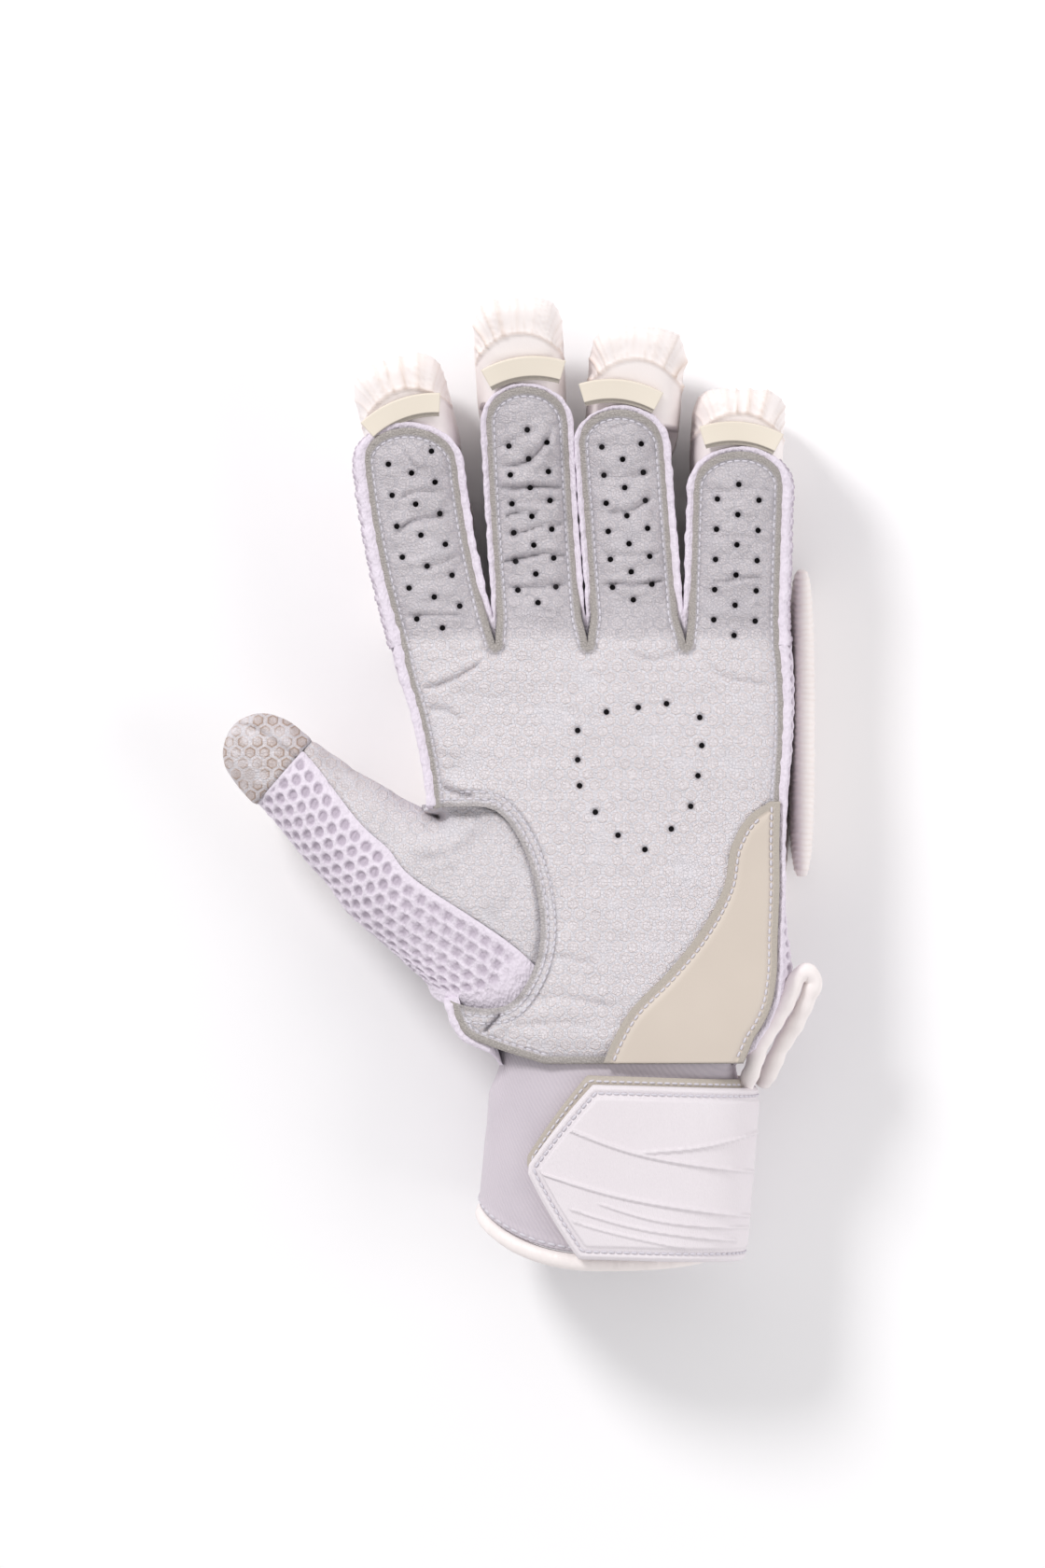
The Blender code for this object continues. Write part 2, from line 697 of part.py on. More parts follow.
def facing_out(target):
    """Turns an open shell's normals away from the middle of the space it holds."""
    mesh = target.data
    points = [vertex.co for vertex in mesh.vertices]
    middle = sum(points, Vector()) / len(points)
    middle.z = max(point.z for point in points)
    score = sum(face.normal.dot(face.center - middle) * face.area for face in mesh.polygons)
    if score < 0:
        mesh.flip_normals()


def make_hand_mesh():
    """The mesh back and sides of the hand. Its left wall drops where the thumb opens."""
    rings = []
    for down in HAND_MESH_ROWS:
        y = -down * PALM_LENGTH - SEAM_GAP
        left = palm_edge(y, "left")
        right = palm_edge(y, "right")
        if down > THUMB_GATE_END["down"]:
            left = max(left, HEEL_MESH_LEFT * ROOT_WIDTH)
        low = BACK_Z
        rim = RIM_Z + heel_rise(y)
        opened, closed = [
            smooth_step((down - gate["down"]) / gate["fade"]) for gate in (THUMB_GATE_TOP, THUMB_GATE_END)
        ]
        rim_left = rim - (rim - low) * opened * (1 - closed)
        bulge = OUTER_BULGE * (1 - down)
        rings.append(channel_section(left, right, low, rim_left, rim, y, CHANNEL_CORNER, 0.0, bulge))
    hand = skin("hand_mesh", rings, "mesh_fabric")
    facing_out(hand)
    thicken(hand, MESH_WALL, -1)
    cut(hand, thumb_envelope("hand_thumb_space", THUMB_CLEARANCE))


def pillow(name, centre, size, turn, finish, squareness=ROLL_SQUARENESS, facets=ROLL_FACETS):
    """A stuffed roll: a sphere squared up into a rounded block, lying along its own y."""
    bm = bmesh.new()
    bmesh.ops.create_uvsphere(bm, u_segments=facets["around"], v_segments=facets["along"], radius=1.0)
    bmesh.ops.rotate(bm, verts=bm.verts, matrix=Matrix.Rotation(math.pi / 2, 3, "X"))
    for vertex in bm.verts:
        reach = math.hypot(vertex.co.x, vertex.co.z)
        if reach > 1e-6:
            cosine, sine = vertex.co.x / reach, vertex.co.z / reach
            ring = reach ** (squareness * 0.75)
            vertex.co.x = ring * math.copysign(abs(cosine) ** squareness, cosine)
            vertex.co.z = ring * math.copysign(abs(sine) ** squareness, sine)
        vertex.co.y = math.copysign(abs(vertex.co.y) ** squareness, vertex.co.y)
    bmesh.ops.scale(bm, verts=bm.verts, vec=Vector(size) / 2)
    bmesh.ops.rotate(bm, verts=bm.verts, matrix=Matrix.Rotation(math.radians(turn), 3, "Z"))
    bmesh.ops.translate(bm, verts=bm.verts, vec=centre)
    mesh = bpy.data.meshes.new(name)
    bm.to_mesh(mesh)
    bm.free()
    mesh.shade_smooth()
    return new_object(name, mesh, finish)


def bend_with_curl(target):
    """Raises a pillow with the curl of the fingers, and flattens it on the ground."""
    top = max(vertex.co.z for vertex in target.data.vertices)
    for vertex in target.data.vertices:
        stretched = top - (top - vertex.co.z) * (top + REST_SQUASH) / top
        vertex.co.z = max(0.0, stretched + lift(vertex.co.y))


def slab(name, low, high, finish="white_leather"):
    """A box between two corners, for cutting."""
    bm = bmesh.new()
    bmesh.ops.create_cube(bm, size=1.0)
    low, high = Vector(low), Vector(high)
    bmesh.ops.scale(bm, verts=bm.verts, vec=high - low)
    bmesh.ops.translate(bm, verts=bm.verts, vec=(low + high) / 2)
    mesh = bpy.data.meshes.new(name)
    bm.to_mesh(mesh)
    bm.free()
    return new_object(name, mesh, finish)


def roll_reach(name):
    """Where a finger's second roll ends and its padded cap begins."""
    return FINGERS[name]["length"] - CAP_GRIP - TIP_ROUND


def make_rolls():
    """Two stuffed rolls under each finger, split across by a groove."""
    for name, row in FINGERS.items():
        end = roll_reach(name)
        split = min(ROLL_SPLIT, end * ROLL_SPLIT_SHARE)
        for number, (low, high) in enumerate(((ROLL_GROOVE, split), (split + ROLL_GROOVE, end)), 1):
            middle = (low + high) / 2
            slope = (finger_middle(name, high) - finger_middle(name, low)) / (high - low)
            width = min(row["front"], row["root"]) - SEAM_GAP
            shift = CAPS[name]["roll_shift"] * (number - 1)
            centre = Vector((finger_middle(name, middle) + shift, middle, ROLL_THICKNESS / 2))
            size = (width, (high - low) / math.cos(math.atan(slope)) - ROLL_GROOVE, ROLL_THICKNESS)
            turn = -math.degrees(math.atan(slope))
            bend_with_curl(pillow(f"{name}_roll_{number}", centre, size, turn, "white_leather"))


def finger_plug(name):
    """The space that a fingertip and its channel take, with a clearance, for cutting the cap."""
    names = list(FINGERS)
    left_bulge = OUTER_BULGE if name == names[0] else 0.0
    right_bulge = OUTER_BULGE if name == names[-1] else 0.0
    rings = []
    for s in finger_stations(name, 3, 6, roll_reach(name) - CAPS[name]["reach"], SEAM_GAP):
        middle, half = finger_middle(name, s), max(finger_half(name, s, SEAM_GAP), 0.05 * MM)
        fade = min(1.0, half / (FINGERS[name]["front"] / 2))
        left, right = middle - half - left_bulge * fade, middle + half + right_bulge * fade
        low, high = BACK_Z - SEAM_GAP + lift(s), 2 * EDGE_Z
        corners = ((left, high), (left, low), (right, low), (right, high))
        rings.append([Vector((x, s, z)) for x, z in corners])
    return skin(f"{name}_plug", rings, "white_leather", closed_rings=True, caps=True)


def ahead(turn):
    """The level direction that points along a finger turned by so many degrees."""
    angle = math.radians(90 + turn)
    return Vector((math.cos(angle), math.sin(angle), 0))


def tip_point(name):
    """The end of a finger's leather, on the ground."""
    return Vector((finger_middle(name, FINGERS[name]["length"]), FINGERS[name]["length"], 0))


def make_caps():
    """The padded cap round each fingertip, nested on the end of the channel."""
    for name, row in FINGERS.items():
        cap_row = CAPS[name]
        tip = tip_point(name)
        low = roll_reach(name) + ROLL_GROOVE
        length = row["length"] + cap_row["reach"] - low
        centre = tip + ahead(cap_row["turn"]) * (cap_row["reach"] - length / 2)
        centre.x += cap_row["shift"]
        height = RIM_Z + CAP_SHOULDER
        centre.z = height / 2
        size = (row["root"] - SEAM_GAP, length, height)
        turn = cap_row["turn"]
        cap = pillow(f"{name}_cap", centre, size, turn, "white_leather", CAP_SQUARENESS, CAP_FACETS)
        bend_with_curl(cap)
        cut(cap, finger_plug(name))
        nape = row["length"] - CAP_GRIP
        side = row["root"]
        ledge = slab(
            f"{name}_ledge",
            (tip.x - side, low - cap_row["reach"], BACK_Z - SEAM_GAP + lift(nape)),
            (tip.x + side, nape, 2 * EDGE_Z),
        )
        cut(cap, ledge)


def make_tabs():
    """A curved tab of thin hide across the top of each cap, just past the fingertip."""
    for name in FINGERS:
        front = ahead(CAPS[name]["tab_turn"])
        side = Vector((front.y, -front.x, 0))
        start = tip_point(name) + front * (TAB_SET_BACK - TAB_RADIUS)
        spread = math.asin(TAB_SPAN / 2 / TAB_RADIUS)
        rings = []
        for reach in (0, TAB_WIDTH / 2, TAB_WIDTH):
            ring = []
            for step in range(TAB_FACETS + 1):
                angle = spread * (2 * step / TAB_FACETS - 1)
                spoke = front * math.cos(angle) + side * math.sin(angle)
                point = start + spoke * (TAB_RADIUS + reach)
                point.z = RIM_Z + lift(point.y) + CAP_SHOULDER + SEAM_GAP
                ring.append(point)
            rings.append(ring)
        tab = facing(skin(f"{name}_tab", rings, "cream_hide"), Vector((0, 0, 1)))
        thicken(tab, TAB_THICKNESS, 1)


def make_hand_rolls():
    """Long stuffed rolls on the back of the hand, one across the wrist and one up the side."""
    left = palm_edge(-PALM_LENGTH * HAND_ROLL_LEFT_AT, "left")
    right = palm_edge(-PALM_LENGTH * HAND_ROLL_RIGHT_AT, "right") + OUTER_BULGE
    width = (right - left) / HAND_ROLL_COUNT
    for number in range(HAND_ROLL_COUNT):
        x = left + width * (number + 0.5)
        size = (width - ROLL_GROOVE / 2, HAND_ROLL_LENGTH - ROLL_GROOVE, ROLL_THICKNESS)
        place = Vector((x, -HAND_ROLL_LENGTH / 2 - ROLL_GROOVE, ROLL_THICKNESS / 2))
        bend_with_curl(pillow(f"hand_roll_{number + 1}", place, size, 0, "white_leather"))
    start, end = [palm_edge(-PALM_LENGTH * WRIST_ROLL_AT, side) for side in ("left", "right")]
    middle = -HAND_ROLL_LENGTH - ROLL_GROOVE - WRIST_ROLL_LENGTH / 2
    place = Vector(((start + end) / 2, middle, ROLL_THICKNESS / 2))
    size = (end - start, WRIST_ROLL_LENGTH - ROLL_GROOVE, ROLL_THICKNESS)
    bend_with_curl(pillow("wrist_roll", place, size, 0, "white_leather", CAP_SQUARENESS))
    x = right + SEAM_GAP - SIDE_ROLL_NEST + SIDE_ROLL_WIDTH / 2
    place = Vector((x, SIDE_ROLL_START - SIDE_ROLL_LENGTH / 2, SIDE_ROLL_HEIGHT / 2))
    size = (SIDE_ROLL_WIDTH, SIDE_ROLL_LENGTH, SIDE_ROLL_HEIGHT)
    side = pillow("side_roll", place, size, 0, "white_leather", SIDE_ROLL_SQUARENESS, SIDE_ROLL_FACETS)
    bend_with_curl(side)


def make_patch():
    """The hide patch on the outer heel of the palm."""

    def edges(y):
        left = ROOT_WIDTH * from_rows(PATCH_EDGES, "down", "left", -y / PALM_LENGTH)
        return left, palm_edge(y, "right")

    def top(x, y):
        return palm_top(x, y) + SEAM_GAP + PATCH_THICKNESS

    ys = [-row["down"] * PALM_LENGTH for row in PATCH_EDGES]
    panel("heel_patch", edges, ys, top, PATCH_COLUMNS, "cream_hide", PATCH_THICKNESS)


def make_thumb():
    """The thumb: leather on its inner side, mesh round the rest, and a leather tip."""
    gap = math.degrees(1.5 * SEAM_GAP / THUMB_DEPTH)
    for number, name, finish, wall in (
        (0, "thumb_leather", "palm_leather", LEATHER),
        (1, "thumb_mesh", "mesh_fabric", MESH_WALL),
    ):
        outer, inner = [], []
        for step in range(THUMB_STEPS + 1):
            angles = thumb_angles(step, gap)[number]
            outer.append(thumb_ring(step, angles))
            inner.append(thumb_ring(step, angles, -wall))
        walled(name, outer, inner, finish)
    make_thumb_tip()


def facing_away(target, centre_of):
    """Turns a tube's normals away from its axis."""
    mesh = target.data
    score = 0.0
    for face in mesh.polygons:
        score += face.normal.dot(face.center - centre_of(face.center)) * face.area
    if score < 0:
        mesh.flip_normals()


def make_thumb_tip():
    """The leather cap on the end of the thumb: an open dome with a wall."""
    around = 16
    first = THUMB_TIP_SHARE + SEAM_GAP / THUMB_LENGTH
    shares = [first] + [row["along"] for row in THUMB_ROWS if row["along"] > first + 0.01]
    along, _ = thumb_axis()
    grids = []
    for grow in (0.0, -LEATHER):
        rings = [[thumb_point(360 * i / around, share, grow) for i in range(around)] for share in shares]
        end = thumb_root(thumb_height()) + along * (THUMB_LENGTH + grow)
        end.z -= THUMB_DROOP
        rings.append([end for _ in range(around)])
        grids.append(rings)
    walled("thumb_tip", grids[0], grids[1], "palm_leather", closed_rings=True, closed_end=True)


def thumb_envelope(name, clearance):
    """The space that the whole thumb takes, with a clearance, for cutting what it meets."""
    rings = []
    for step in range(THUMB_STEPS + 1):
        leather, mesh = thumb_angles(step)
        angles = leather[:-1] + mesh[:-1]
        rings.append(thumb_ring(step, angles, clearance))
    rings.insert(0, [point + Vector((THUMB_ROOM, 0, 0)) for point in rings[0]])
    for row in THUMB_ROWS:
        if row["along"] > THUMB_TIP_SHARE:
            rings.append([thumb_point(angle, row["along"], clearance) for angle in angles])
    return skin(name, rings, "white_leather", closed_rings=True, caps=True)


def make_thumb_pads():
    """Two stuffed pads along the back of the thumb, shaped to its underside."""
    along, _ = thumb_axis()
    for number, row in enumerate(THUMB_PADS, 1):
        centre = thumb_root(0.0) + along * THUMB_LENGTH * row["along"]
        height = thumb_height() - THUMB_PAD_SINK
        centre.z = height / 2 + THUMB_PAD_LIFT
        size = (THUMB_WIDTH * row["wide"], THUMB_LENGTH * row["length"] - ROLL_GROOVE, height)
        pad = pillow(f"thumb_pad_{number}", centre, size, THUMB_TURN - 90, "white_leather")
        cut(pad, thumb_envelope(f"thumb_pad_{number}_space", THUMB_PAD_CLEARANCE))


def cuff_ring(angle, y, grow=0.0, flare=None):
    """A point of the cuff's outer face: a neck in the hand's opening flares to a flattened ring."""
    share = min(1.0, max(0.0, (-PALM_LENGTH - y) / CUFF_LENGTH))
    if flare is None:
        flare = smooth_step((-PALM_LENGTH - y) / CUFF_FLARE)
    wide = CUFF_WIDTH / 2 * (CUFF_NECK_SHARE + (1 - CUFF_NECK_SHARE) * flare) + grow
    deep = CUFF_NECK + (CUFF_DEPTH / 2 - CUFF_NECK) * flare + grow
    centre_x = CUFF_CENTRE * ROOT_WIDTH - CUFF_LEAN * share
    neck_z = BACK_Z + MESH_WALL + SEAM_GAP + CUFF_NECK
    centre_z = neck_z + (CUFF_DEPTH / 2 + CUFF_LIFT - neck_z) * flare
    turn = math.radians(angle)
    x = centre_x + wide * math.copysign(abs(math.cos(turn)) ** CUFF_SQUARENESS, math.cos(turn))
    z = centre_z + deep * math.copysign(abs(math.sin(turn)) ** CUFF_SQUARENESS, math.sin(turn))
    return Vector((x, y, z))


def hem(angle, extra=0.0):
    """The y of the cuff's hem: lower on the palm side than behind, and drawn up on the thumb's side."""
    turn = math.radians(angle)
    thumb_side = max(0.0, -math.cos(turn)) ** 2
    slant = CUFF_SLANT * (1 - math.sin(turn)) / 2
    return -PALM_LENGTH - CUFF_LENGTH - extra + slant + HEM_LIFT * thumb_side


def make_cuff():
    """The knitted cuff, tucked under the heel of the palm."""
    angles = [360 * i / CUFF_FACETS for i in range(CUFF_FACETS)]
    top = -PALM_LENGTH + CUFF_TUCK
    rings = []
    for share in CUFF_ROWS:
        rings.append([cuff_ring(angle, top + (hem(angle) - top) * share) for angle in angles])
    cuff = skin("cuff", rings, "knit", closed_rings=True)
    facing_away(cuff, cuff_middle)
    thicken(cuff, CUFF_WALL, -1)
    make_binding(angles)


def cuff_middle(point):
    """The point of the cuff's axis level with a place."""
    return (cuff_ring(0, point.y) + cuff_ring(180, point.y)) / 2


def make_binding(angles):
    """The rounded leather binding along the hem: an oval carried round the cuff."""
    sides = 6
    rings = []
    for angle in angles:
        ring = []
        for side in range(sides):
            turn = 2 * math.pi * (side + 0.5) / sides
            swing = math.cos(turn) / math.cos(math.pi / sides)
            y = hem(angle, SEAM_GAP + BINDING_WIDTH * (1 - swing) / 2)
            ring.append(cuff_ring(angle, y, (math.sin(turn) * BINDING_THICKNESS - CUFF_WALL) / 2))
        rings.append(ring)
    skin("cuff_binding", rings + rings[:1], "white_leather", closed_rings=True)


def band(name, grow, lead, end, shift, finish, thickness, rows):
    """A strap on the cuff: pointed at its start, then of even width round the wrist."""
    middle = -PALM_LENGTH - STRAP_DROP - STRAP_WIDTH / 2 + shift
    start, corner = STRAP_START + lead, STRAP_CORNER + lead
    facet = 360 / CUFF_FACETS
    inside = [facet * i for i in range(CUFF_FACETS, -CUFF_FACETS, -1) if end < facet * i < corner]
    angles = [start, (start + corner) / 2, corner] + inside + [end]
    rings = []
    for angle in angles:
        share = (start - angle) / (start - corner)
        half = STRAP_WIDTH / 2 * min(1.0, STRAP_POINT + (1 - STRAP_POINT) * share)
        slope = -STRAP_TILT * math.cos(math.radians(angle))
        ring = []
        for j in range(rows + 1):
            y = middle + slope + half * (1 - 2 * j / rows)
            ring.append(cuff_ring(angle, y, grow, 1.0))
        rings.append(ring)
    made = skin(name, rings, finish)
    facing_away(made, cuff_middle)
    return thicken(made, thickness, 1)


def make_strap():
    """The closing strap and the tape under it, from the palm side round the outer edge."""
    tape_in = (BINDING_THICKNESS - CUFF_WALL) / 2 + SEAM_GAP
    strap_in = tape_in + TAPE_THICKNESS + SEAM_GAP
    band("strap_tape", tape_in, TAPE_LEAD, STRAP_END, TAPE_SHIFT, "cream_hide", TAPE_THICKNESS, 2)
    band("strap", strap_in, 0.0, STRAP_END, 0.0, "strap_rubber", STRAP_THICKNESS, 3)


def make_piping():
    """The rounded binding beside the heel, folded back on itself."""
    curve = bpy.data.curves.new("wrist_piping", "CURVE")
    curve.dimensions = "3D"
    curve.bevel_depth = PIPING_RADIUS
    curve.bevel_resolution = 1
    curve.use_fill_caps = True
    spline = curve.splines.new("POLY")
    spline.points.add(len(PIPING_ROUTE) - 1)
    for point, row in zip(spline.points, PIPING_ROUTE):
        y = -row["down"] * PALM_LENGTH
        x = palm_edge(max(y, -PALM_LENGTH), "right") + row["outside"]
        point.co = (x, y, row["height"], 1.0)
    curve.materials.append(material("white_leather"))
    glove.objects.link(bpy.data.objects.new("wrist_piping", curve))


def make_all():
    """Builds every piece of the glove."""
    make_palm()
    make_channels()
    make_hand_mesh()
    make_rolls()
    make_caps()
    make_tabs()
    make_hand_rolls()
    make_patch()
    make_thumb()
    make_thumb_pads()
    make_cuff()
    make_strap()
    make_piping()


def stand_on_origin():
    """Moves the glove so that the origin lies on the ground under its middle."""
    bpy.context.view_layer.update()
    graph = bpy.context.evaluated_depsgraph_get()
    low, high = Vector((BIG, BIG, BIG)), Vector((-BIG, -BIG, -BIG))
    for part in glove.objects:
        solid = part.evaluated_get(graph)
        for vertex in solid.to_mesh().vertices:
            low = Vector(map(min, low, vertex.co))
            high = Vector(map(max, high, vertex.co))
        solid.to_mesh_clear()
    middle = (low + high) / 2
    shift = Vector((-middle.x, -middle.y, -low.z))
    for part in list(glove.objects) + list(cutters.objects):
        part.location += shift


for old in list(bpy.data.objects):
    bpy.data.objects.remove(old)
glove = bpy.data.collections.new("batting_glove")
cutters = bpy.data.collections.new("cutters")
bpy.context.scene.collection.children.link(glove)
bpy.context.scene.collection.children.link(cutters)
make_all()
stand_on_origin()
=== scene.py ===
# %% [markdown]
# # Cricket batting glove for the left hand
# The glove lies on its padded back with the palm up. The CAD frame gives its sizes and places;
# this script dresses every CAD piece in a fine surface: leather with its print and creases, spacer
# mesh, gathered caps, knitting, bindings and stitches. Each surface is a grid of points worked
# out by numpy from the same named sizes as the CAD, so the two stay together.

# %% Load the frame
import json

import bpy
import numpy as np
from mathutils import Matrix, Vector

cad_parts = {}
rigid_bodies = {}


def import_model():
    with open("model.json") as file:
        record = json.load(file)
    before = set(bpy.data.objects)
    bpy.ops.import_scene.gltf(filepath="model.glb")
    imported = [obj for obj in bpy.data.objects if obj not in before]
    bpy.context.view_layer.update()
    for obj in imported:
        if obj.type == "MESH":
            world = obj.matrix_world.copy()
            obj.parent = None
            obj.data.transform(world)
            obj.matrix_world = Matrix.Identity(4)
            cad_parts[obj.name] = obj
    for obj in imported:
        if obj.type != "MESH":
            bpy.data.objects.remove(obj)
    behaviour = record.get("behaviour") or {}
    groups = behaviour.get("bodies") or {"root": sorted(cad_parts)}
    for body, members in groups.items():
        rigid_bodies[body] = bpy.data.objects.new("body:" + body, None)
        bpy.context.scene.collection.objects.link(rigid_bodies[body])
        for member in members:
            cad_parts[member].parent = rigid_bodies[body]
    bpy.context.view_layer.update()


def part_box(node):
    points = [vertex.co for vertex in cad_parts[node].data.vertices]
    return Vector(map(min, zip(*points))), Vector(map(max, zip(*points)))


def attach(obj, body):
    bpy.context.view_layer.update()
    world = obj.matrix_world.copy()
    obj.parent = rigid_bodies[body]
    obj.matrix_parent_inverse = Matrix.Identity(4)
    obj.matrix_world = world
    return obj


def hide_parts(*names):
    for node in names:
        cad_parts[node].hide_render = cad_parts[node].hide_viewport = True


MM = 0.001
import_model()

# %% [markdown]
# ## Sizes
# The same names and numbers as in the CAD, in millimetres of the real glove. They could be
# measured off the CAD meshes, but typed again they can be read beside the formulas. First the
# fingers, their padded caps and the rolls behind them.

# %% Sizes of the fingers and the rolls


def table(names, *rows):
    """Rows of numbers under column names, as one dict for each row."""
    return [dict(zip(names.split(), row)) for row in rows]


LEATHER = 1.6 * MM
SEAM_GAP = 0.4 * MM
FINGERS = {
    "index": dict(root=26.8 * MM, front=26.6 * MM, length=60.3 * MM, lean=-16.7, bend=7.0 * MM),
    "middle": dict(root=25.7 * MM, front=23.5 * MM, length=71.5 * MM, lean=-5.1, bend=1.9 * MM),
    "ring": dict(root=27.3 * MM, front=24.3 * MM, length=65.3 * MM, lean=-4.4, bend=0.0 * MM),
    "little": dict(root=26.8 * MM, front=25.7 * MM, length=53.8 * MM, lean=1.7, bend=0.0 * MM),
}
CAP_ROWS = table(
    "reach shift turn roll_shift tab_turn arc",
    (20.0 * MM, 0.6 * MM, 14.0, 2.2 * MM, 20.0, 10.5 * MM),
    (24.7 * MM, -1.2 * MM, 3.0, 0.0, 6.0, 14.5 * MM),
    (23.6 * MM, 4.4 * MM, -4.0, 1.2 * MM, -6.0, 14.0 * MM),
    (17.9 * MM, 0.0, -2.0, 0.0, -5.0, 10.5 * MM),
)
CAPS = dict(zip(FINGERS, CAP_ROWS))
TIP_ROUND = 9.9 * MM
CROTCH_LENGTH = 9.0 * MM
FINGER_DEPTH = 20.5 * MM
FINGER_CROWN = 3.0 * MM
CHANNEL_CORNER = 6.0 * MM
OUTER_BULGE = 2.6 * MM
CURL = 7.0 * MM
CURL_START = 30.0 * MM
CURL_SPAN = 41.5 * MM
ROLL_THICKNESS = 20.0 * MM
REST_SQUASH = 2.8 * MM
ROLL_SPLIT = 26.0 * MM
ROLL_SPLIT_SHARE = 0.55
ROLL_GROOVE = 1.0 * MM
ROLL_SQUARENESS = 0.62
CAP_SQUARENESS = 0.5
CAP_GRIP = 4.5 * MM
CAP_SHOULDER = 1.2 * MM
HAND_ROLL_LENGTH = 78.0 * MM
HAND_ROLL_COUNT = 4
HAND_ROLL_LEFT_AT = 0.3
HAND_ROLL_RIGHT_AT = 0.2
SIDE_ROLL_WIDTH = 7.2 * MM
SIDE_ROLL_LENGTH = 87.0 * MM
SIDE_ROLL_HEIGHT = 34.0 * MM
SIDE_ROLL_NEST = 0.9 * MM
SIDE_ROLL_START = 22.0 * MM
SIDE_ROLL_SQUARENESS = 0.75
WRIST_ROLL_LENGTH = 32.0 * MM
WRIST_ROLL_AT = 0.9
TAB_SPAN = 19.5 * MM
TAB_WIDTH = 5.3 * MM
TAB_RADIUS = 25.0 * MM
TAB_THICKNESS = 1.0 * MM
TAB_SET_BACK = 2.8 * MM

# %% [markdown]
# The palm's two edges are wavy, so each is a short table of places down the palm and across it,
# as shares of its length and width. A smooth curve runs through the rows. The ventilation holes
# and the heel patch are given the same way.

# %% Sizes of the palm and the patch
PALM_LENGTH = 116.5 * MM
HEEL_RISE = 5.0 * MM
PALM_CROWN = 5.0 * MM
CROWN_END = 0.8
PALM_EDGES = table(
    "down left right",
    (0.000, -0.500, 0.500),
    (0.067, -0.485, 0.507),
    (0.157, -0.456, 0.510),
    (0.246, -0.434, 0.507),
    (0.336, -0.417, 0.500),
    (0.470, -0.407, 0.495),
    (0.582, -0.398, 0.495),
    (0.694, -0.388, 0.490),
    (0.805, -0.376, 0.485),
    (0.861, -0.363, 0.473),
    (0.906, -0.346, 0.451),
    (0.940, -0.312, 0.427),
    (0.966, -0.239, 0.415),
    (1.000, -0.120, 0.398),
)
VENT_RADIUS = 0.8 * MM
FINGER_VENT_SPREAD = 0.45
FINGER_VENTS = {
    "index": dict(start=4.7 * MM, pitch=4.3 * MM, rows=12),
    "middle": dict(start=11.7 * MM, pitch=4.0 * MM, rows=13),
    "ring": dict(start=12.5 * MM, pitch=3.9 * MM, rows=12),
    "little": dict(start=2.6 * MM, pitch=4.2 * MM, rows=11),
}
PALM_VENTS = table(
    "across down",
    (0.041, 0.161),
    (0.124, 0.150),
    (0.198, 0.141),
    (0.285, 0.174),
    (0.290, 0.241),
    (0.280, 0.313),
    (0.261, 0.386),
    (0.210, 0.440),
    (0.141, 0.489),
    (0.071, 0.455),
    (0.012, 0.400),
    (-0.029, 0.337),
    (-0.034, 0.275),
    (-0.034, 0.205),
)
PATCH_THICKNESS = 1.0 * MM
PATCH_EDGES = table(
    "down left",
    (0.374, 0.470),
    (0.403, 0.422),
    (0.425, 0.400),
    (0.470, 0.373),
    (0.582, 0.346),
    (0.694, 0.278),
    (0.783, 0.198),
    (0.873, 0.102),
    (0.940, 0.059),
    (0.997, 0.032),
)

# %% [markdown]
# The thumb is a slanted tube. One table walks round the seam at its base by angle, and one gives
# how wide and deep it is along its axis.

# %% Sizes of the thumb
THUMB_GATE_TOP = dict(down=0.385, fade=0.02)
THUMB_GATE_END = dict(down=0.80, fade=0.06)
HEEL_MESH_LEFT = -0.40
HAND_MESH_END = 0.96
THUMB_LENGTH = 61.0 * MM
THUMB_WIDTH = 37.4 * MM
THUMB_DEPTH = 27.0 * MM
THUMB_TURN = np.radians(139.0)
THUMB_ROOT_ACROSS = -0.510
THUMB_ROOT_DOWN = 0.537
THUMB_DROOP = 2.0 * MM
THUMB_HOLE_LIP = 1.0 * MM
THUMB_RAISE = 2.0 * MM
THUMB_STEPS = 8
THUMB_BASE_CENTRE = dict(across=-0.30, down=0.62)
THUMB_BASE = table(
    "angle across down height",
    (0, -0.432, 0.398, 0.80),
    (30, -0.352, 0.391, 0.98),
    (60, -0.239, 0.407, 1.12),
    (90, -0.159, 0.537, 1.22),
    (110, -0.134, 0.671, 1.24),
    (135, -0.163, 0.794, 1.18),
    (155, -0.227, 0.859, 1.08),
    (170, -0.312, 0.862, 0.98),
    (185, -0.392, 0.835, 0.82),
    (215, -0.420, 0.761, 0.40),
    (270, -0.430, 0.582, 0.10),
    (325, -0.436, 0.447, 0.40),
    (360, -0.432, 0.398, 0.80),
)
THUMB_ROWS = table(
    "along wide deep",
    (0.00, 1.000, 1.00),
    (0.23, 0.835, 0.93),
    (0.48, 0.710, 0.86),
    (0.68, 0.620, 0.78),
    (0.80, 0.570, 0.70),
    (0.90, 0.470, 0.56),
    (0.97, 0.280, 0.33),
    (1.00, 0.000, 0.00),
)
THUMB_TIP_SHARE = 0.68
THUMB_SEAM_UNDER = -48.0
THUMB_SEAM = table(
    "step angle",
    (0.000, 128.0),
    (0.125, 112.0),
    (0.250, 86.0),
    (0.500, 79.0),
    (0.625, 74.0),
    (0.750, 65.0),
    (1.000, 45.0),
)
THUMB_PAD_THICKNESS = 14.0 * MM
THUMB_PAD_LIFT = 1.0 * MM
THUMB_PAD_SINK = 2.7 * MM
THUMB_PADS = table(
    "along length wide",
    (0.16, 0.40, 0.78),
    (0.60, 0.42, 0.62),
)

# %% [markdown]
# The cuff is a flattened ring with a narrow neck. The strap goes round it from one angle to
# another, and the piping is a path of points down its side.

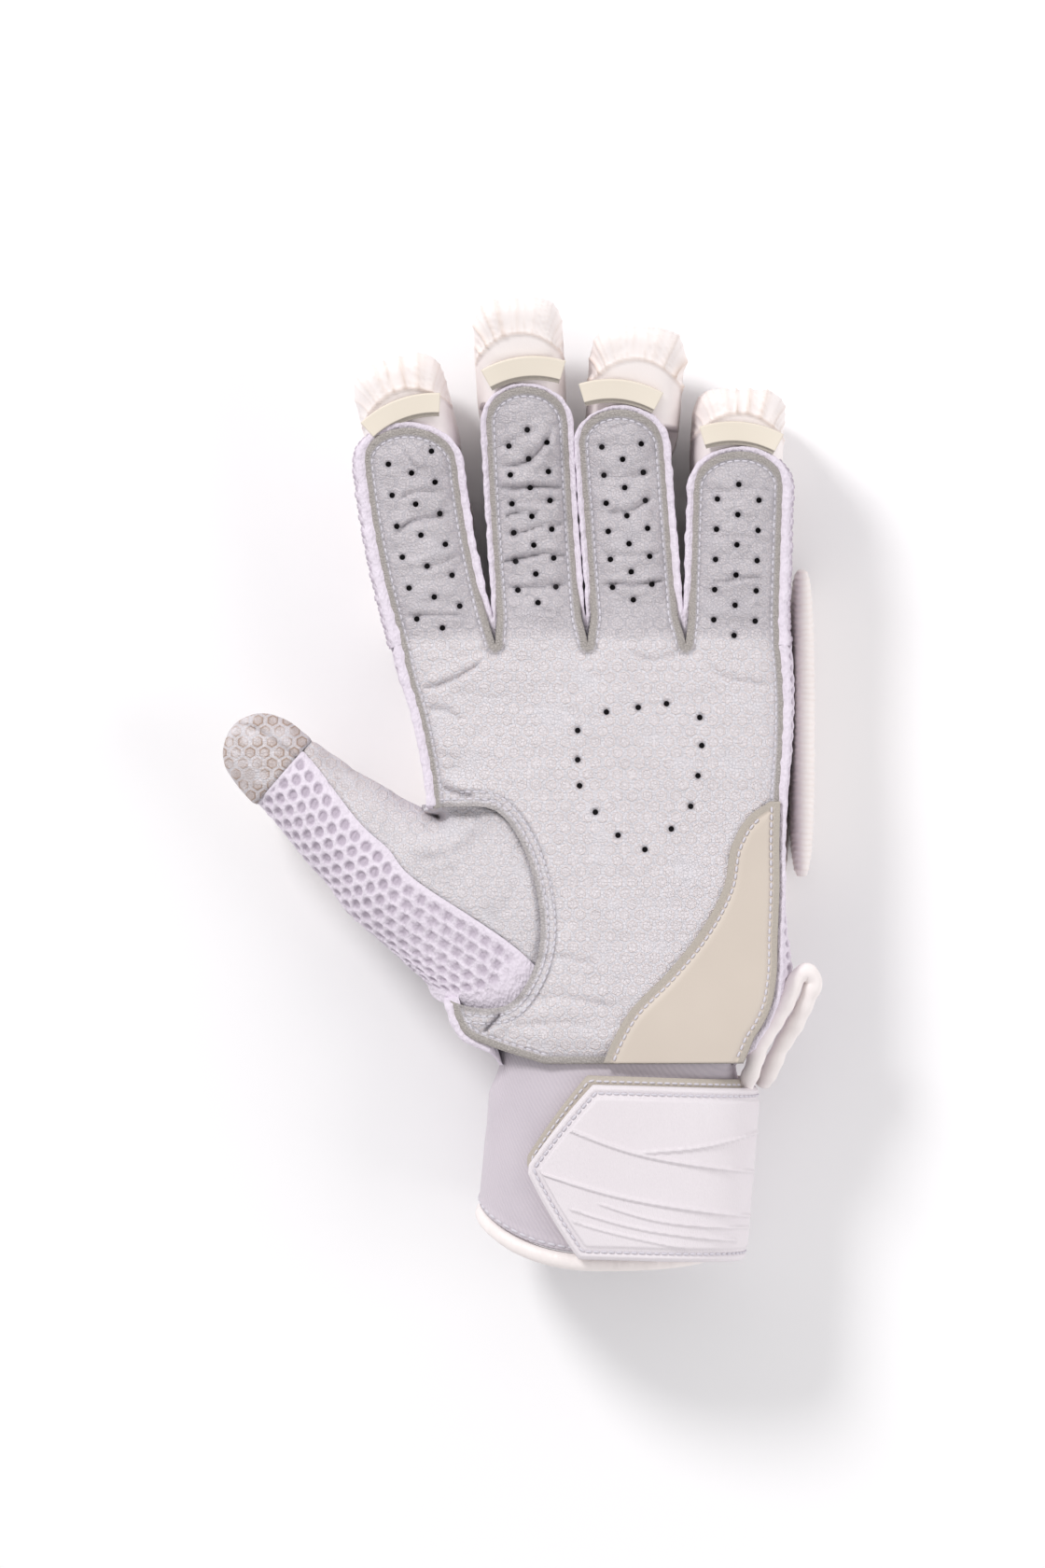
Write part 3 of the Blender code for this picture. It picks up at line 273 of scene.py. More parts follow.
# %% Sizes of the cuff, the strap and the piping
CUFF_LENGTH = 52.5 * MM
CUFF_WIDTH = 71.0 * MM
CUFF_DEPTH = 44.0 * MM
CUFF_WALL = 2.2 * MM
CUFF_TUCK = 3.6 * MM
CUFF_NECK = 14.0 * MM
CUFF_NECK_SHARE = 0.93
CUFF_FLARE = 10.0 * MM
CUFF_SQUARENESS = 0.85
CUFF_LIFT = 8.0 * MM
CUFF_CENTRE = 0.072
CUFF_LEAN = 4.3 * MM
HEM_LIFT = 8.0 * MM
CUFF_SLANT = 10.0 * MM
BINDING_WIDTH = 4.7 * MM
BINDING_THICKNESS = 3.8 * MM
STRAP_WIDTH = 48.4 * MM
STRAP_THICKNESS = 2.0 * MM
STRAP_START = 121.0
STRAP_CORNER = 97.0
STRAP_END = -77.0
STRAP_DROP = 5.7 * MM
STRAP_TILT = 1.5 * MM
STRAP_POINT = 0.05
TAPE_THICKNESS = 1.2 * MM
TAPE_SHIFT = 2.4 * MM
TAPE_LEAD = 3.0
MESH_WALL = 1.8 * MM
PIPING_RADIUS = 1.9 * MM
PIPING_ROUTE = table(
    "down outside height",
    (1.020, 2.6 * MM, 43.0 * MM),
    (0.960, 2.6 * MM, 42.5 * MM),
    (0.900, 3.2 * MM, 41.5 * MM),
    (0.840, 4.4 * MM, 40.5 * MM),
    (0.797, 6.0 * MM, 40.0 * MM),
    (0.783, 8.4 * MM, 39.5 * MM),
    (0.800, 10.4 * MM, 38.5 * MM),
    (0.850, 9.8 * MM, 37.5 * MM),
    (0.910, 9.4 * MM, 36.5 * MM),
    (0.970, 9.0 * MM, 35.5 * MM),
    (1.010, 8.6 * MM, 34.5 * MM),
)
ROOT_WIDTH = sum(row["root"] for row in FINGERS.values())
BACK_Z = ROLL_THICKNESS + SEAM_GAP
RIM_Z = BACK_Z + FINGER_DEPTH
EDGE_Z = RIM_Z + SEAM_GAP

# %% [markdown]
# The formulas count from the finger roots, and the CAD has an origin of its own. SHIFT moves one
# to the other. It is read off the CAD's own boxes, so the two can't drift apart.

# %% Place of the glove


def column(rows, name):
    """One column of a table as an array."""
    return np.array([row[name] for row in rows], float)


def edge_share(rows, side, down):
    """An edge table read at a share of the palm's length, straight between its rows."""
    return np.interp(down, column(rows, "down"), column(rows, side))


def find_shift():
    """The CAD's origin in the row frame: the heel gives y, and the middle of the wrist roll gives x."""
    low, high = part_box("wrist_roll")
    ends = [edge_share(PALM_EDGES, side, WRIST_ROLL_AT) for side in ("left", "right")]
    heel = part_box("palm_leather")[0]
    return np.array(((low.x + high.x) / 2 - ROOT_WIDTH * sum(ends) / 2, heel.y + PALM_LENGTH, 0.0))


SHIFT = find_shift()
print("shift", SHIFT)

# %% [markdown]
# ## Curves and grids
# Cloth and leather have few straight lines. Four small functions do most of the shaping: a smooth
# step, a bell, a smooth curve through table rows, and a soft noise added up from sine waves. A
# noise texture could do the last, but sine waves give the same result on every machine.

# %% Curves


def ease(value):
    """0 below 0, 1 above 1, and 3 v^2 - 2 v^3 between."""
    value = np.clip(value, 0.0, 1.0)
    return value * value * (3 - 2 * value)


def squared(value, power):
    """The sign of a value times its size to a power: below 1 it turns a circle towards a square."""
    return np.copysign(np.abs(value) ** power, value)


def bell(distance, width):
    """exp(-(distance / width)^2)."""
    return np.exp(-((distance / width) ** 2))


def through(knots, values, at):
    """A smooth curve through the knots: a cubic between neighbours, sloped as they are."""
    knots, values = np.asarray(knots, float), np.asarray(values, float)
    slopes = np.gradient(values, knots, axis=0)
    at = np.clip(np.asarray(at, float), knots[0], knots[-1])
    i = np.clip(np.searchsorted(knots, at, side="right") - 1, 0, len(knots) - 2)
    width = knots[i + 1] - knots[i]
    t = (at - knots[i]) / width
    if values.ndim > 1:
        t, width = t[..., None], width[..., None]
    rise = t * t * (3 - 2 * t)
    start, end = t * (1 - t) ** 2 * width, t * t * (t - 1) * width
    return values[i] * (1 - rise) + values[i + 1] * rise + slopes[i] * start + slopes[i + 1] * end


def ripple(a, b, seed):
    """Smooth noise from about -1 to 1: five sine waves, each turned and finer than the last."""
    total = np.zeros(np.broadcast(a, b).shape)
    for wave in range(5):
        turn = seed + 2.4 * wave
        fine = 1.0 + 0.63 * wave
        total += np.sin(fine * (a * np.cos(turn) + b * np.sin(turn)) + seed * (wave + 3)) / fine
    return total / 2.0


def lengths(points):
    """Distance walked along a line of points."""
    steps = np.linalg.norm(np.diff(points, axis=0), axis=1)
    return np.concatenate([[0.0], np.cumsum(steps)])


def even(points, count):
    """The same line with count points, evenly spaced."""
    walked = lengths(points)
    at = np.linspace(0, walked[-1], count)
    return np.stack([np.interp(at, walked, points[:, i]) for i in range(points.shape[1])], axis=1)

# %% [markdown]
# A sheet of leather is a grid of points. Blender can build it face by face, but numpy hands over
# whole arrays at once, which is much faster. Relief is made by moving each point along the grid's
# own normal, as a Displace modifier does.

# %% Grids into meshes


def grid_normals(points, wrap=False):
    """Unit normals of a grid of points: the cross product of its two directions."""
    across = np.gradient(points, axis=1)
    if wrap:
        across = (np.roll(points, -1, axis=1) - np.roll(points, 1, axis=1)) / 2
    normal = np.cross(across, np.gradient(points, axis=0))
    return normal / np.maximum(np.linalg.norm(normal, axis=2, keepdims=True), 1e-12)


WELD_REACH = 0.002 * MM


def make_mesh(name, points, faces, values=None, smooth=True):
    """A mesh from points and triangles or quads. Points that fall together become one."""
    quads = np.asarray(faces)
    if quads.shape[1] == 4:
        quads = np.concatenate([quads[:, [0, 1, 2]], quads[:, [0, 2, 3]]])
    _, first, same = np.unique(
        np.round(points / WELD_REACH).astype(np.int64), axis=0, return_index=True, return_inverse=True
    )
    triangles = same.reshape(-1)[quads]
    whole = (
        (triangles[:, 0] != triangles[:, 1])
        & (triangles[:, 1] != triangles[:, 2])
        & (triangles[:, 0] != triangles[:, 2])
    )
    triangles = triangles[whole]
    used, triangles = np.unique(triangles, return_inverse=True)
    triangles = triangles.reshape(-1, 3)
    kept = first[used]
    mesh = bpy.data.meshes.new(name)
    mesh.vertices.add(len(kept))
    mesh.vertices.foreach_set("co", points[kept].astype(np.float32).ravel())
    mesh.loops.add(triangles.size)
    mesh.loops.foreach_set("vertex_index", triangles.ravel().astype(np.int32))
    mesh.polygons.add(len(triangles))
    mesh.polygons.foreach_set("loop_start", np.arange(0, triangles.size, 3, dtype=np.int32))
    mesh.update(calc_edges=True)
    mesh.validate()
    if smooth:
        mesh.shade_smooth()
    for key, value in (values or {}).items():
        layer = mesh.attributes.new(key, "FLOAT", "POINT")
        layer.data.foreach_set("value", np.broadcast_to(value, len(points))[kept].astype(np.float32))
    made = bpy.data.objects.new(name, mesh)
    bpy.context.scene.collection.objects.link(made)
    return made


def grid_faces(rows, columns, wrap=False):
    """The quads of a grid, turned so that the normals of grid_normals point out of them."""
    index = np.arange(rows * columns).reshape(rows, columns)
    if wrap:
        index = np.hstack([index, index[:, :1]])
    corners = (index[:-1, :-1], index[:-1, 1:], index[1:, 1:], index[1:, :-1])
    return np.stack(corners, axis=-1).reshape(-1, 4)


def surface(name, points, wrap=False, values=None):
    """A mesh from a grid of points in design space, moved to the row frame."""
    flat = points.reshape(-1, 3) + SHIFT
    flat_values = {key: np.asarray(value).ravel() for key, value in (values or {}).items()}
    return make_mesh(name, flat, grid_faces(*points.shape[:2], wrap), flat_values)


def turned(name, points, values=None, wrap=True):
    """The same as surface with its columns in the other order, so its faces look the other way."""
    values = {key: value[:, ::-1] for key, value in (values or {}).items()}
    return surface(name, points[:, ::-1], wrap, values)


def solid_wall(made, thickness):
    """Gives an open sheet its thickness, below its face."""
    wall = made.modifiers.new("Wall", "SOLIDIFY")
    wall.thickness = thickness
    wall.offset = -1


def raised(points, amount, wrap=False):
    """The grid moved along its normals."""
    return points + grid_normals(points, wrap) * np.asarray(amount)[..., None]


def tube(name, path, radius, sides):
    """A round tube along a path, closed at its ends. Its cross sections stand square to the path."""
    radius = radius.copy()
    radius[0] = radius[-1] = 0.0
    along = np.gradient(path, axis=0)
    along /= np.linalg.norm(along, axis=1, keepdims=True)
    side = np.cross(along, (0.0, 0.0, 1.0))
    side /= np.maximum(np.linalg.norm(side, axis=1, keepdims=True), 1e-9)
    up = np.cross(side, along)
    turn = np.linspace(0, 2 * np.pi, sides, endpoint=False)
    ring = side[:, None] * np.cos(turn)[None, :, None] + up[:, None] * np.sin(turn)[None, :, None]
    return surface(name, path[:, None] + ring * radius[:, None, None], wrap=True)

# %% [markdown]
# Seams, borders and creases are all bands along a line, so the distance from a line is the most
# useful measure of all. It is worked out for thousands of points at a time.

# %% Distance from a line


def edge_distance(x, y, line):
    """Shortest distance from each point to a line of points, and how far along it that is."""
    flat = np.stack([np.ravel(x), np.ravel(y)], axis=1)
    start, step = line[:-1], np.diff(line, axis=0)
    square = np.maximum((step**2).sum(1), 1e-18)
    walked = lengths(line)
    found, where = np.empty(len(flat)), np.empty(len(flat))
    for low in range(0, len(flat), 4000):
        gap = flat[low : low + 4000, None] - start[None]
        share = np.clip((gap * step).sum(2) / square, 0, 1)
        distance = ((gap - share[..., None] * step) ** 2).sum(2)
        nearest = distance.argmin(1)
        rows = np.arange(len(nearest))
        found[low : low + 4000] = np.sqrt(distance[rows, nearest])
        length = np.sqrt(square[nearest])
        where[low : low + 4000] = walked[nearest] + share[rows, nearest] * length
    return found.reshape(np.shape(x)), where.reshape(np.shape(x))


# %% [markdown]
# ## Finishes
# A shader is a net of nodes, slow to read when it is wired by hand. Here a socket is wrapped as a
# Value with the plus, minus and times of numbers, so a material reads as a formula.

# %% Sockets that add and multiply


class Value:
    """One socket of a node tree, with arithmetic."""

    def __init__(self, finish, socket):
        self.finish = finish
        self.socket = socket

    def __add__(self, other):
        return self.finish.math("ADD", self, other)

    def __radd__(self, other):
        return self.finish.math("ADD", other, self)

    def __sub__(self, other):
        return self.finish.math("SUBTRACT", self, other)

    def __rsub__(self, other):
        return self.finish.math("SUBTRACT", other, self)

    def __mul__(self, other):
        return self.finish.math("MULTIPLY", self, other)

    def __rmul__(self, other):
        return self.finish.math("MULTIPLY", other, self)

# %% [markdown]
# Finish makes every node by one method, from its type, its settings and what goes into its
# sockets. Noise and cells are measured in millimetres of the object, so a grain keeps its size on
# every piece.

# %% A material as one object


class Finish:
    """A material whose nodes are made by one method from a type, settings and inputs."""

    def __init__(self, name):
        self.material = bpy.data.materials.new(name)
        self.material.use_nodes = True
        self.tree = self.material.node_tree
        self.shader = self.tree.nodes["Principled BSDF"]

    def add(self, kind, settings=None, inputs=None, output=0):
        """One node and the output of it that is asked for."""
        node = self.tree.nodes.new(kind)
        for key, value in (settings or {}).items():
            setattr(node, key, value)
        for key, value in (inputs or {}).items():
            self.plug(node.inputs[key], value)
        return Value(self, node.outputs[output])

    def plug(self, socket, value):
        """Links a value to a socket, or sets the socket to a plain number or colour."""
        if isinstance(value, Value):
            self.tree.links.new(value.socket, socket)
        else:
            socket.default_value = value

    def math(self, operation, *values):
        """A Math node of one operation on numbers or values."""
        return self.add("ShaderNodeMath", {"operation": operation}, dict(enumerate(values)))

    def ramp(self, value, low, high):
        """A smooth rise from 0 at low to 1 at high."""
        return self.add(
            "ShaderNodeMapRange",
            {"interpolation_type": "SMOOTHSTEP"},
            {"Value": value, "From Min": low, "From Max": high, "To Min": 0.0, "To Max": 1.0},
        )

    def mix(self, share, first, second):
        """A colour between two colours."""
        return self.add("ShaderNodeMix", {"data_type": "RGBA"}, {0: share, 6: first, 7: second}, 2)

    def place(self, scale=(1.0, 1.0, 1.0)):
        """Object coordinates in millimetres, stretched along the axes."""
        spot = self.add("ShaderNodeTexCoord", output="Object")
        inputs = {"Vector": spot, "Scale": tuple(1000.0 * part for part in scale)}
        return self.add("ShaderNodeMapping", None, inputs)

    def noise(self, size, detail=3.0, stretch=(1.0, 1.0, 1.0)):
        """Cloudy noise with features of about size millimetres."""
        inputs = {"Vector": self.place(stretch), "Scale": 1.0 / size, "Detail": detail}
        return self.add("ShaderNodeTexNoise", None, inputs)

    def cells(self, size, feature="F1", stretch=(1.0, 1.0, 1.0)):
        """Distance from the middle or the edge of irregular cells of about size millimetres."""
        inputs = {"Vector": self.place(stretch), "Scale": 1.0 / size}
        return self.add("ShaderNodeTexVoronoi", {"feature": feature}, inputs)

    def attribute(self, name):
        """A value stored on the points of the mesh."""
        return self.add("ShaderNodeAttribute", {"attribute_name": name}, None, "Fac")

    def set(self, colour, roughness, height=None, depth=0.1, **others):
        """Wires the shader. depth is the height of the relief in millimetres."""
        self.plug(self.shader.inputs["Base Color"], colour)
        self.plug(self.shader.inputs["Roughness"], roughness)
        if height is not None:
            inputs = {"Strength": 1.0, "Distance": depth * MM, "Height": height}
            self.plug(self.shader.inputs["Normal"], self.add("ShaderNodeBump", None, inputs))
        for name, value in others.items():
            self.shader.inputs[name.replace("_", " ")].default_value = value
        return self.material


def colour(red, green, blue):
    """A colour from its screen values, 0 to 255, as the linear light that shaders take."""
    screen = np.array((red, green, blue)) / 255.0
    linear = np.where(screen <= 0.04045, screen / 12.92, ((screen + 0.055) / 1.055) ** 2.4)
    return (*(float(part) for part in linear), 1.0)


# %% [markdown]
# The palm is cool grey leather with fine cross wrinkles, a pale print of hexagons in staggered
# rows, and a raw beige edge. A picture of leather would be quick, but it would stretch and it
# would show its tiles. Formulas stay sharp at any distance.

# %% Leather of the palm
PRINT_PITCH = 4.1
PRINT_ROW = 3.0
PRINT_RADIUS = 1.25


def hexagon_print(finish):
    """Distance from the nearest print's middle, measured as a hexagon: two lattices, half a step apart."""
    spot = finish.place()
    parts = [finish.add("ShaderNodeSeparateXYZ", None, {"Vector": spot}, axis) for axis in range(3)]
    found = None
    for offset_x, offset_y in ((0.0, 0.0), (PRINT_PITCH / 2, PRINT_ROW)):
        x = finish.math("WRAP", parts[0] + offset_x, PRINT_PITCH / 2, -PRINT_PITCH / 2)
        y = finish.math("WRAP", parts[1] + offset_y, PRINT_ROW, -PRINT_ROW)
        x, y = finish.math("ABSOLUTE", x), finish.math("ABSOLUTE", y)
        distance = finish.math("MAXIMUM", x, x * 0.5 + y * 0.866)
        found = distance if found is None else finish.math("MINIMUM", found, distance)
    return found


def palm_finish():
    """Grey clouds, darker on the fingers, then the print, the soil, painted shade in the seams, folds and
    vents, and the raw edge over them.
    """
    finish = Finish("palm_leather")
    raw, printed_and_lit, worn, valley = [finish.attribute(name) for name in ("raw", "printed_and_lit", "worn", "valley")]
    distance = hexagon_print(finish)
    spread = finish.noise(0.5, 2.0)
    ring = finish.ramp(finish.math("ABSOLUTE", distance - PRINT_RADIUS), 0.28, 0.10)
    inside = finish.ramp(distance, PRINT_RADIUS, PRINT_RADIUS - 0.2)
    patchy = finish.ramp(finish.noise(9.0, 2.0), 0.22, 0.48)
    mark = (ring * 0.85 + inside * 0.35) * patchy * printed_and_lit
    clouds = finish.noise(11.0, 4.0)
    # The fingers' grey is darker than the palm's: partly the leather's own tone, partly painted shade.
    fingers = finish.mix(clouds, colour(184, 179, 185), colour(208, 203, 208))
    broad = finish.mix(clouds, colour(217, 213, 218), colour(230, 226, 231))
    base = finish.mix(finish.ramp(printed_and_lit, 0.4, 0.9), fingers, broad)
    base = finish.mix(mark, base, colour(232, 221, 221))
    soiled = worn * (0.30 + mark) * finish.ramp(finish.noise(4.0), 0.25, 0.6)
    base = finish.mix(soiled, base, colour(172, 146, 130))
    # Painted shade: the stitch grooves, creases, seams and vent rims are darkened to grey.
    base = finish.mix(valley, base, colour(136, 132, 140))
    suede = finish.mix(finish.noise(0.35, 2.0), colour(148, 142, 139), colour(196, 189, 184))
    base = finish.mix(raw, base, suede)
    pores = finish.cells(0.85, "DISTANCE_TO_EDGE")
    wrinkles = finish.noise(1.5, 4.0, (0.40, 1.6, 1.0))
    height = finish.ramp(pores, 0.0, 0.16) * 0.4 + wrinkles * 1.5 + spread * 0.3 + mark * 0.5
    return finish.set(base, 0.60 - mark * 0.12 + raw * 0.3, height, 0.34, IOR=1.45)


MATERIALS = {"palm_leather": palm_finish()}

# %% [markdown]
# The caps and rolls are smooth white leather, and the sides are spacer mesh, a thick knit with
# pressed holes. Holes and folds are real relief in the mesh. The finish also paints shade into
# them, darkening them by a value that the surface stores on its points.

# %% White leather and spacer mesh


def white_finish():
    """Smooth white leather with painted shade, darker and warmer, in its valleys, and a fine grain."""
    finish = Finish("white_leather")
    valley = finish.attribute("valley")
    base = finish.mix(finish.noise(18.0), colour(240, 231, 229), colour(248, 241, 239))
    # Painted shade: pleats, grooves and ribs turn a darker, warmer cream in their valleys.
    base = finish.mix(valley, base, colour(226, 204, 190))
    height = finish.noise(0.9, 4.0, (1.0, 1.0, 1.0)) * 0.5 + finish.cells(0.5) * 0.3
    return finish.set(base, 0.42 + valley * 0.2, height, 0.05, Specular_IOR_Level=0.4)


def mesh_finish():
    """Dull lilac yarn with painted shade in its holes, with loops and fibres."""
    finish = Finish("mesh_fabric")
    hole = finish.attribute("hole")
    base = finish.mix(finish.noise(6.0), colour(224, 214, 226), colour(240, 231, 242))
    # Painted shade: the pressed holes are darkened to look deep.
    base = finish.mix(hole, base, colour(176, 163, 178))
    fibres = finish.noise(0.3, 3.0, (1.0, 1.0, 1.0))
    loops = finish.cells(0.8, "F1", (1.0, 0.7, 1.0))
    return finish.set(base, 0.92, fibres * 0.6 + loops * 1.2, 0.26, Sheen_Weight=0.15)

# %% [markdown]
# The patch and the tabs are cream hide with a suede edge, the cuff is a fine knit, and the strap
# is moulded. Each is a tone, a roughness and a little bump. Geometry for grain this fine would
# cost far more than it shows.

# %% Hide, knitting, strap and thread


def hide_finish(name, dark, light):
    """Cream hide between two tones, turning to suede where its edge is raw."""
    finish = Finish(name)
    raw = finish.attribute("raw")
    base = finish.mix(finish.noise(22.0, 2.0), dark, light)
    suede = finish.mix(finish.noise(0.35, 2.0), colour(158, 150, 142), colour(200, 191, 180))
    base = finish.mix(raw, base, suede)
    height = finish.cells(0.6, "DISTANCE_TO_EDGE") * 0.4 + finish.noise(2.5, 3.0) * 0.5
    return finish.set(base, 0.50 + raw * 0.35, height, 0.05)


def knit_finish():
    """Lilac grey knitting with fine slanting ribs."""
    finish = Finish("knit")
    base = finish.mix(finish.noise(12.0), colour(201, 192, 200), colour(212, 203, 210))
    ribs = finish.add(
        "ShaderNodeTexWave",
        {"wave_type": "BANDS", "bands_direction": "DIAGONAL"},
        {"Vector": finish.place((1.0, 0.8, 1.0)), "Scale": 0.42, "Distortion": 1.2, "Detail": 1.0},
        "Fac",
    )
    base = finish.mix(ribs * 0.25, base, colour(184, 176, 188))
    height = ribs * 0.8 + finish.noise(0.3, 2.0) * 0.6
    return finish.set(base, 0.95, height, 0.10, Sheen_Weight=0.3)


def strap_finish():
    """Moulded white plastic with a faint woven grain."""
    finish = Finish("strap_rubber")
    fabric = finish.noise(0.5, 3.0, (2.2, 0.5, 1.0))
    base = finish.mix(finish.noise(25.0), colour(225, 217, 221), colour(235, 229, 233))
    return finish.set(base, 0.42, fabric, 0.14)


def plain_finish(name, tone, roughness, fine):
    """One even colour with a little fibre in it."""
    finish = Finish(name)
    base = finish.mix(finish.noise(0.4, 2.0), tone, tuple(part * 0.86 for part in tone[:3]) + (1.0,))
    return finish.set(base, roughness, finish.noise(0.25, 2.0), fine)


MATERIALS["white_leather"] = white_finish()
MATERIALS["mesh_fabric"] = mesh_finish()
MATERIALS["cream_hide"] = hide_finish("cream_hide", colour(202, 190, 178), colour(214, 202, 190))
MATERIALS["tab_hide"] = hide_finish("tab_hide", colour(229, 218, 202), colour(239, 230, 216))
MATERIALS["knit"] = knit_finish()
MATERIALS["strap_rubber"] = strap_finish()
MATERIALS["thread"] = plain_finish("thread", colour(222, 218, 226), 0.7, 0.08)
# Painted shade: the lining is dark grey so that the holes over it look dark.
MATERIALS["shaded_lining"] = plain_finish("shaded_lining", colour(92, 88, 92), 0.95, 0.1)
print("materials", sorted(MATERIALS))



# %% [markdown]
# Each finished piece takes one material and rides on the root body, and the CAD nodes it stands
# for are hidden.


def dress(made, finish, nodes=()):
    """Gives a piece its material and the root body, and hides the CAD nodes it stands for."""
    made.data.materials.clear()
    made.data.materials.append(MATERIALS[finish])
    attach(made, "root")
    if nodes:
        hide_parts(*nodes)
    print(made.name, len(made.data.polygons), "faces")
    return made


# %% [markdown]
# ## The hand's own lines
# Everything on the glove follows a few lines: each finger's centre line leans and bends, and its
# leather ends in a quarter ellipse. They are functions of the way along the glove, so that
# leather, mesh, rolls and stitches all agree.

# %% Lines of the fingers


def lift(y):
    """The curl of the fingers: CURL ((y - CURL_START) / CURL_SPAN)^2 beyond CURL_START."""
    return CURL * (np.maximum(0.0, y - CURL_START) / CURL_SPAN) ** 2


def heel_rise(y):
    """The palm's rise towards the heel, a smooth step along its length."""
    return HEEL_RISE * ease(-y / PALM_LENGTH)


def finger_left(name):
    """The x of a finger's root on its left."""
    before = list(FINGERS)[: list(FINGERS).index(name)]
    return -ROOT_WIDTH / 2 + sum(FINGERS[other]["root"] for other in before)


def finger_middle(name, s):
    """The x of a finger's centre line at s beyond the knuckle line: a lean and a bend."""
    row = FINGERS[name]
    lean = np.tan(np.radians(row["lean"])) * s
    return finger_left(name) + row["root"] / 2 + lean + row["bend"] * (s / row["length"]) ** 2


def finger_half(name, s):
    """Half the width of a finger's leather: straight, then a quarter ellipse to the tip."""
    row = FINGERS[name]
    half = row["root"] / 2 + (row["front"] - row["root"]) / 2 * ease(s / CROTCH_LENGTH)
    past = np.clip((s - row["length"] + TIP_ROUND) / TIP_ROUND, 0, 1)
    return half * np.sqrt(1 - past**2)


def finger_stations(name, straight, rounded):
    """Places along a finger, even on the strip and closing up round its end."""
    turn = FINGERS[name]["length"] - TIP_ROUND
    strip = np.linspace(0, turn, straight, endpoint=False)
    return np.concatenate([strip, turn + TIP_ROUND * np.sin(np.linspace(0, np.pi / 2, rounded))])

# %% [markdown]
# The palm's top is a shallow arch across the hand that divides into one small arch for each
# finger. The two shapes are blended beyond the knuckle line, which leaves no step.

# %% Top and outline of the palm


def palm_edge(y, side):
    """The x of the palm's edge, a smooth curve through the table."""
    return ROOT_WIDTH * through(column(PALM_EDGES, "down"), column(PALM_EDGES, side), -y / PALM_LENGTH)


def palm_top(x, y):
    """Height of the palm: parabolas across each finger that run into one across the palm."""
    edge = EDGE_Z + LEATHER + lift(y) + heel_rise(y)
    level = np.minimum(0.0, np.maximum(y, -CROWN_END * PALM_LENGTH))
    left, right = palm_edge(level, "left"), palm_edge(level, "right")
    palm = PALM_CROWN * np.maximum(0.0, 1 - ((2 * x - left - right) / (right - left)) ** 2)
    finger = np.zeros_like(palm)
    for name, row in FINGERS.items():
        across = (x - finger_middle(name, np.maximum(y, 0.0))) / (row["front"] / 2)
        crown = FINGER_CROWN * np.maximum(0.0, 1 - across**2)
        finger = np.maximum(finger, np.where(y <= row["length"], crown, 0.0))
    merge = ease(y / (2 * CROTCH_LENGTH))
    return edge + palm * (1 - merge) + finger * merge


def finger_outline(name, count=150):
    """The edge of a finger's leather from its left root round the tip to its right root."""
    s = finger_stations(name, count * 2 // 3, count // 3)
    left = np.stack([finger_middle(name, s) - finger_half(name, s), s], axis=1)
    right = np.stack([finger_middle(name, s) + finger_half(name, s), s], axis=1)[::-1]
    return np.concatenate([left, right[1:]])


def palm_side(side):
    """The palm's edge on one side, from the heel to the knuckle line."""
    y = np.linspace(-PALM_LENGTH, 0, 160)
    return np.stack([palm_edge(y, side), y], axis=1)


def palm_outline():
    """The whole edge of the palm leather: up the thumb's side, round each finger, and down."""
    parts = [palm_side("left")] + [finger_outline(name) for name in FINGERS]
    return np.concatenate(parts + [palm_side("right")[::-1], palm_side("left")[:1]])



# %% [markdown]
# The seam of the thumb is a closed curve read by angle. The cuff is an ellipse pulled towards a
# rectangle by a power below one, which is shorter to write than a drawn outline.

# %% Lines of the thumb and the cuff
THUMB_AXIS = np.array((np.cos(THUMB_TURN), np.sin(THUMB_TURN), 0.0))
THUMB_ACROSS = np.array((np.sin(THUMB_TURN), -np.cos(THUMB_TURN), 0.0))


def thumb_base_point(angle, grow=0.0):
    """The seam round the thumb's base, grown outwards from its middle."""
    angle = np.mod(angle, 360.0)
    knots = column(THUMB_BASE, "angle")
    columns = [column(THUMB_BASE, key) for key in ("across", "down", "height")]
    across, down, height = [through(knots, values, angle) for values in columns]
    x, y = across * ROOT_WIDTH, -down * PALM_LENGTH
    out_x = x - THUMB_BASE_CENTRE["across"] * ROOT_WIDTH
    out_y = y + THUMB_BASE_CENTRE["down"] * PALM_LENGTH
    reach = np.hypot(out_x, out_y)
    z = BACK_Z + height * (FINGER_DEPTH + heel_rise(y)) + grow * np.sin(np.radians(angle))
    return np.stack([x + out_x / reach * grow, y + out_y / reach * grow, z], axis=-1)


def cuff_point(angle, y, grow=0.0, flare=None):
    """The cuff's outer face: a squared ellipse whose neck flares into the ring."""
    share = np.clip((-PALM_LENGTH - y) / CUFF_LENGTH, 0, 1)
    flare = ease((-PALM_LENGTH - y) / CUFF_FLARE) if flare is None else flare
    wide = CUFF_WIDTH / 2 * (CUFF_NECK_SHARE + (1 - CUFF_NECK_SHARE) * flare) + grow
    deep = CUFF_NECK + (CUFF_DEPTH / 2 - CUFF_NECK) * flare + grow
    neck_z = BACK_Z + MESH_WALL + SEAM_GAP + CUFF_NECK
    centre_z = neck_z + (CUFF_DEPTH / 2 + CUFF_LIFT - neck_z) * flare
    turn = np.radians(angle)
    cos, sin = np.cos(turn), np.sin(turn)
    x = CUFF_CENTRE * ROOT_WIDTH - CUFF_LEAN * share + wide * squared(cos, CUFF_SQUARENESS)
    z = centre_z + deep * squared(sin, CUFF_SQUARENESS)
    return np.stack(np.broadcast_arrays(x, y, z), axis=-1)


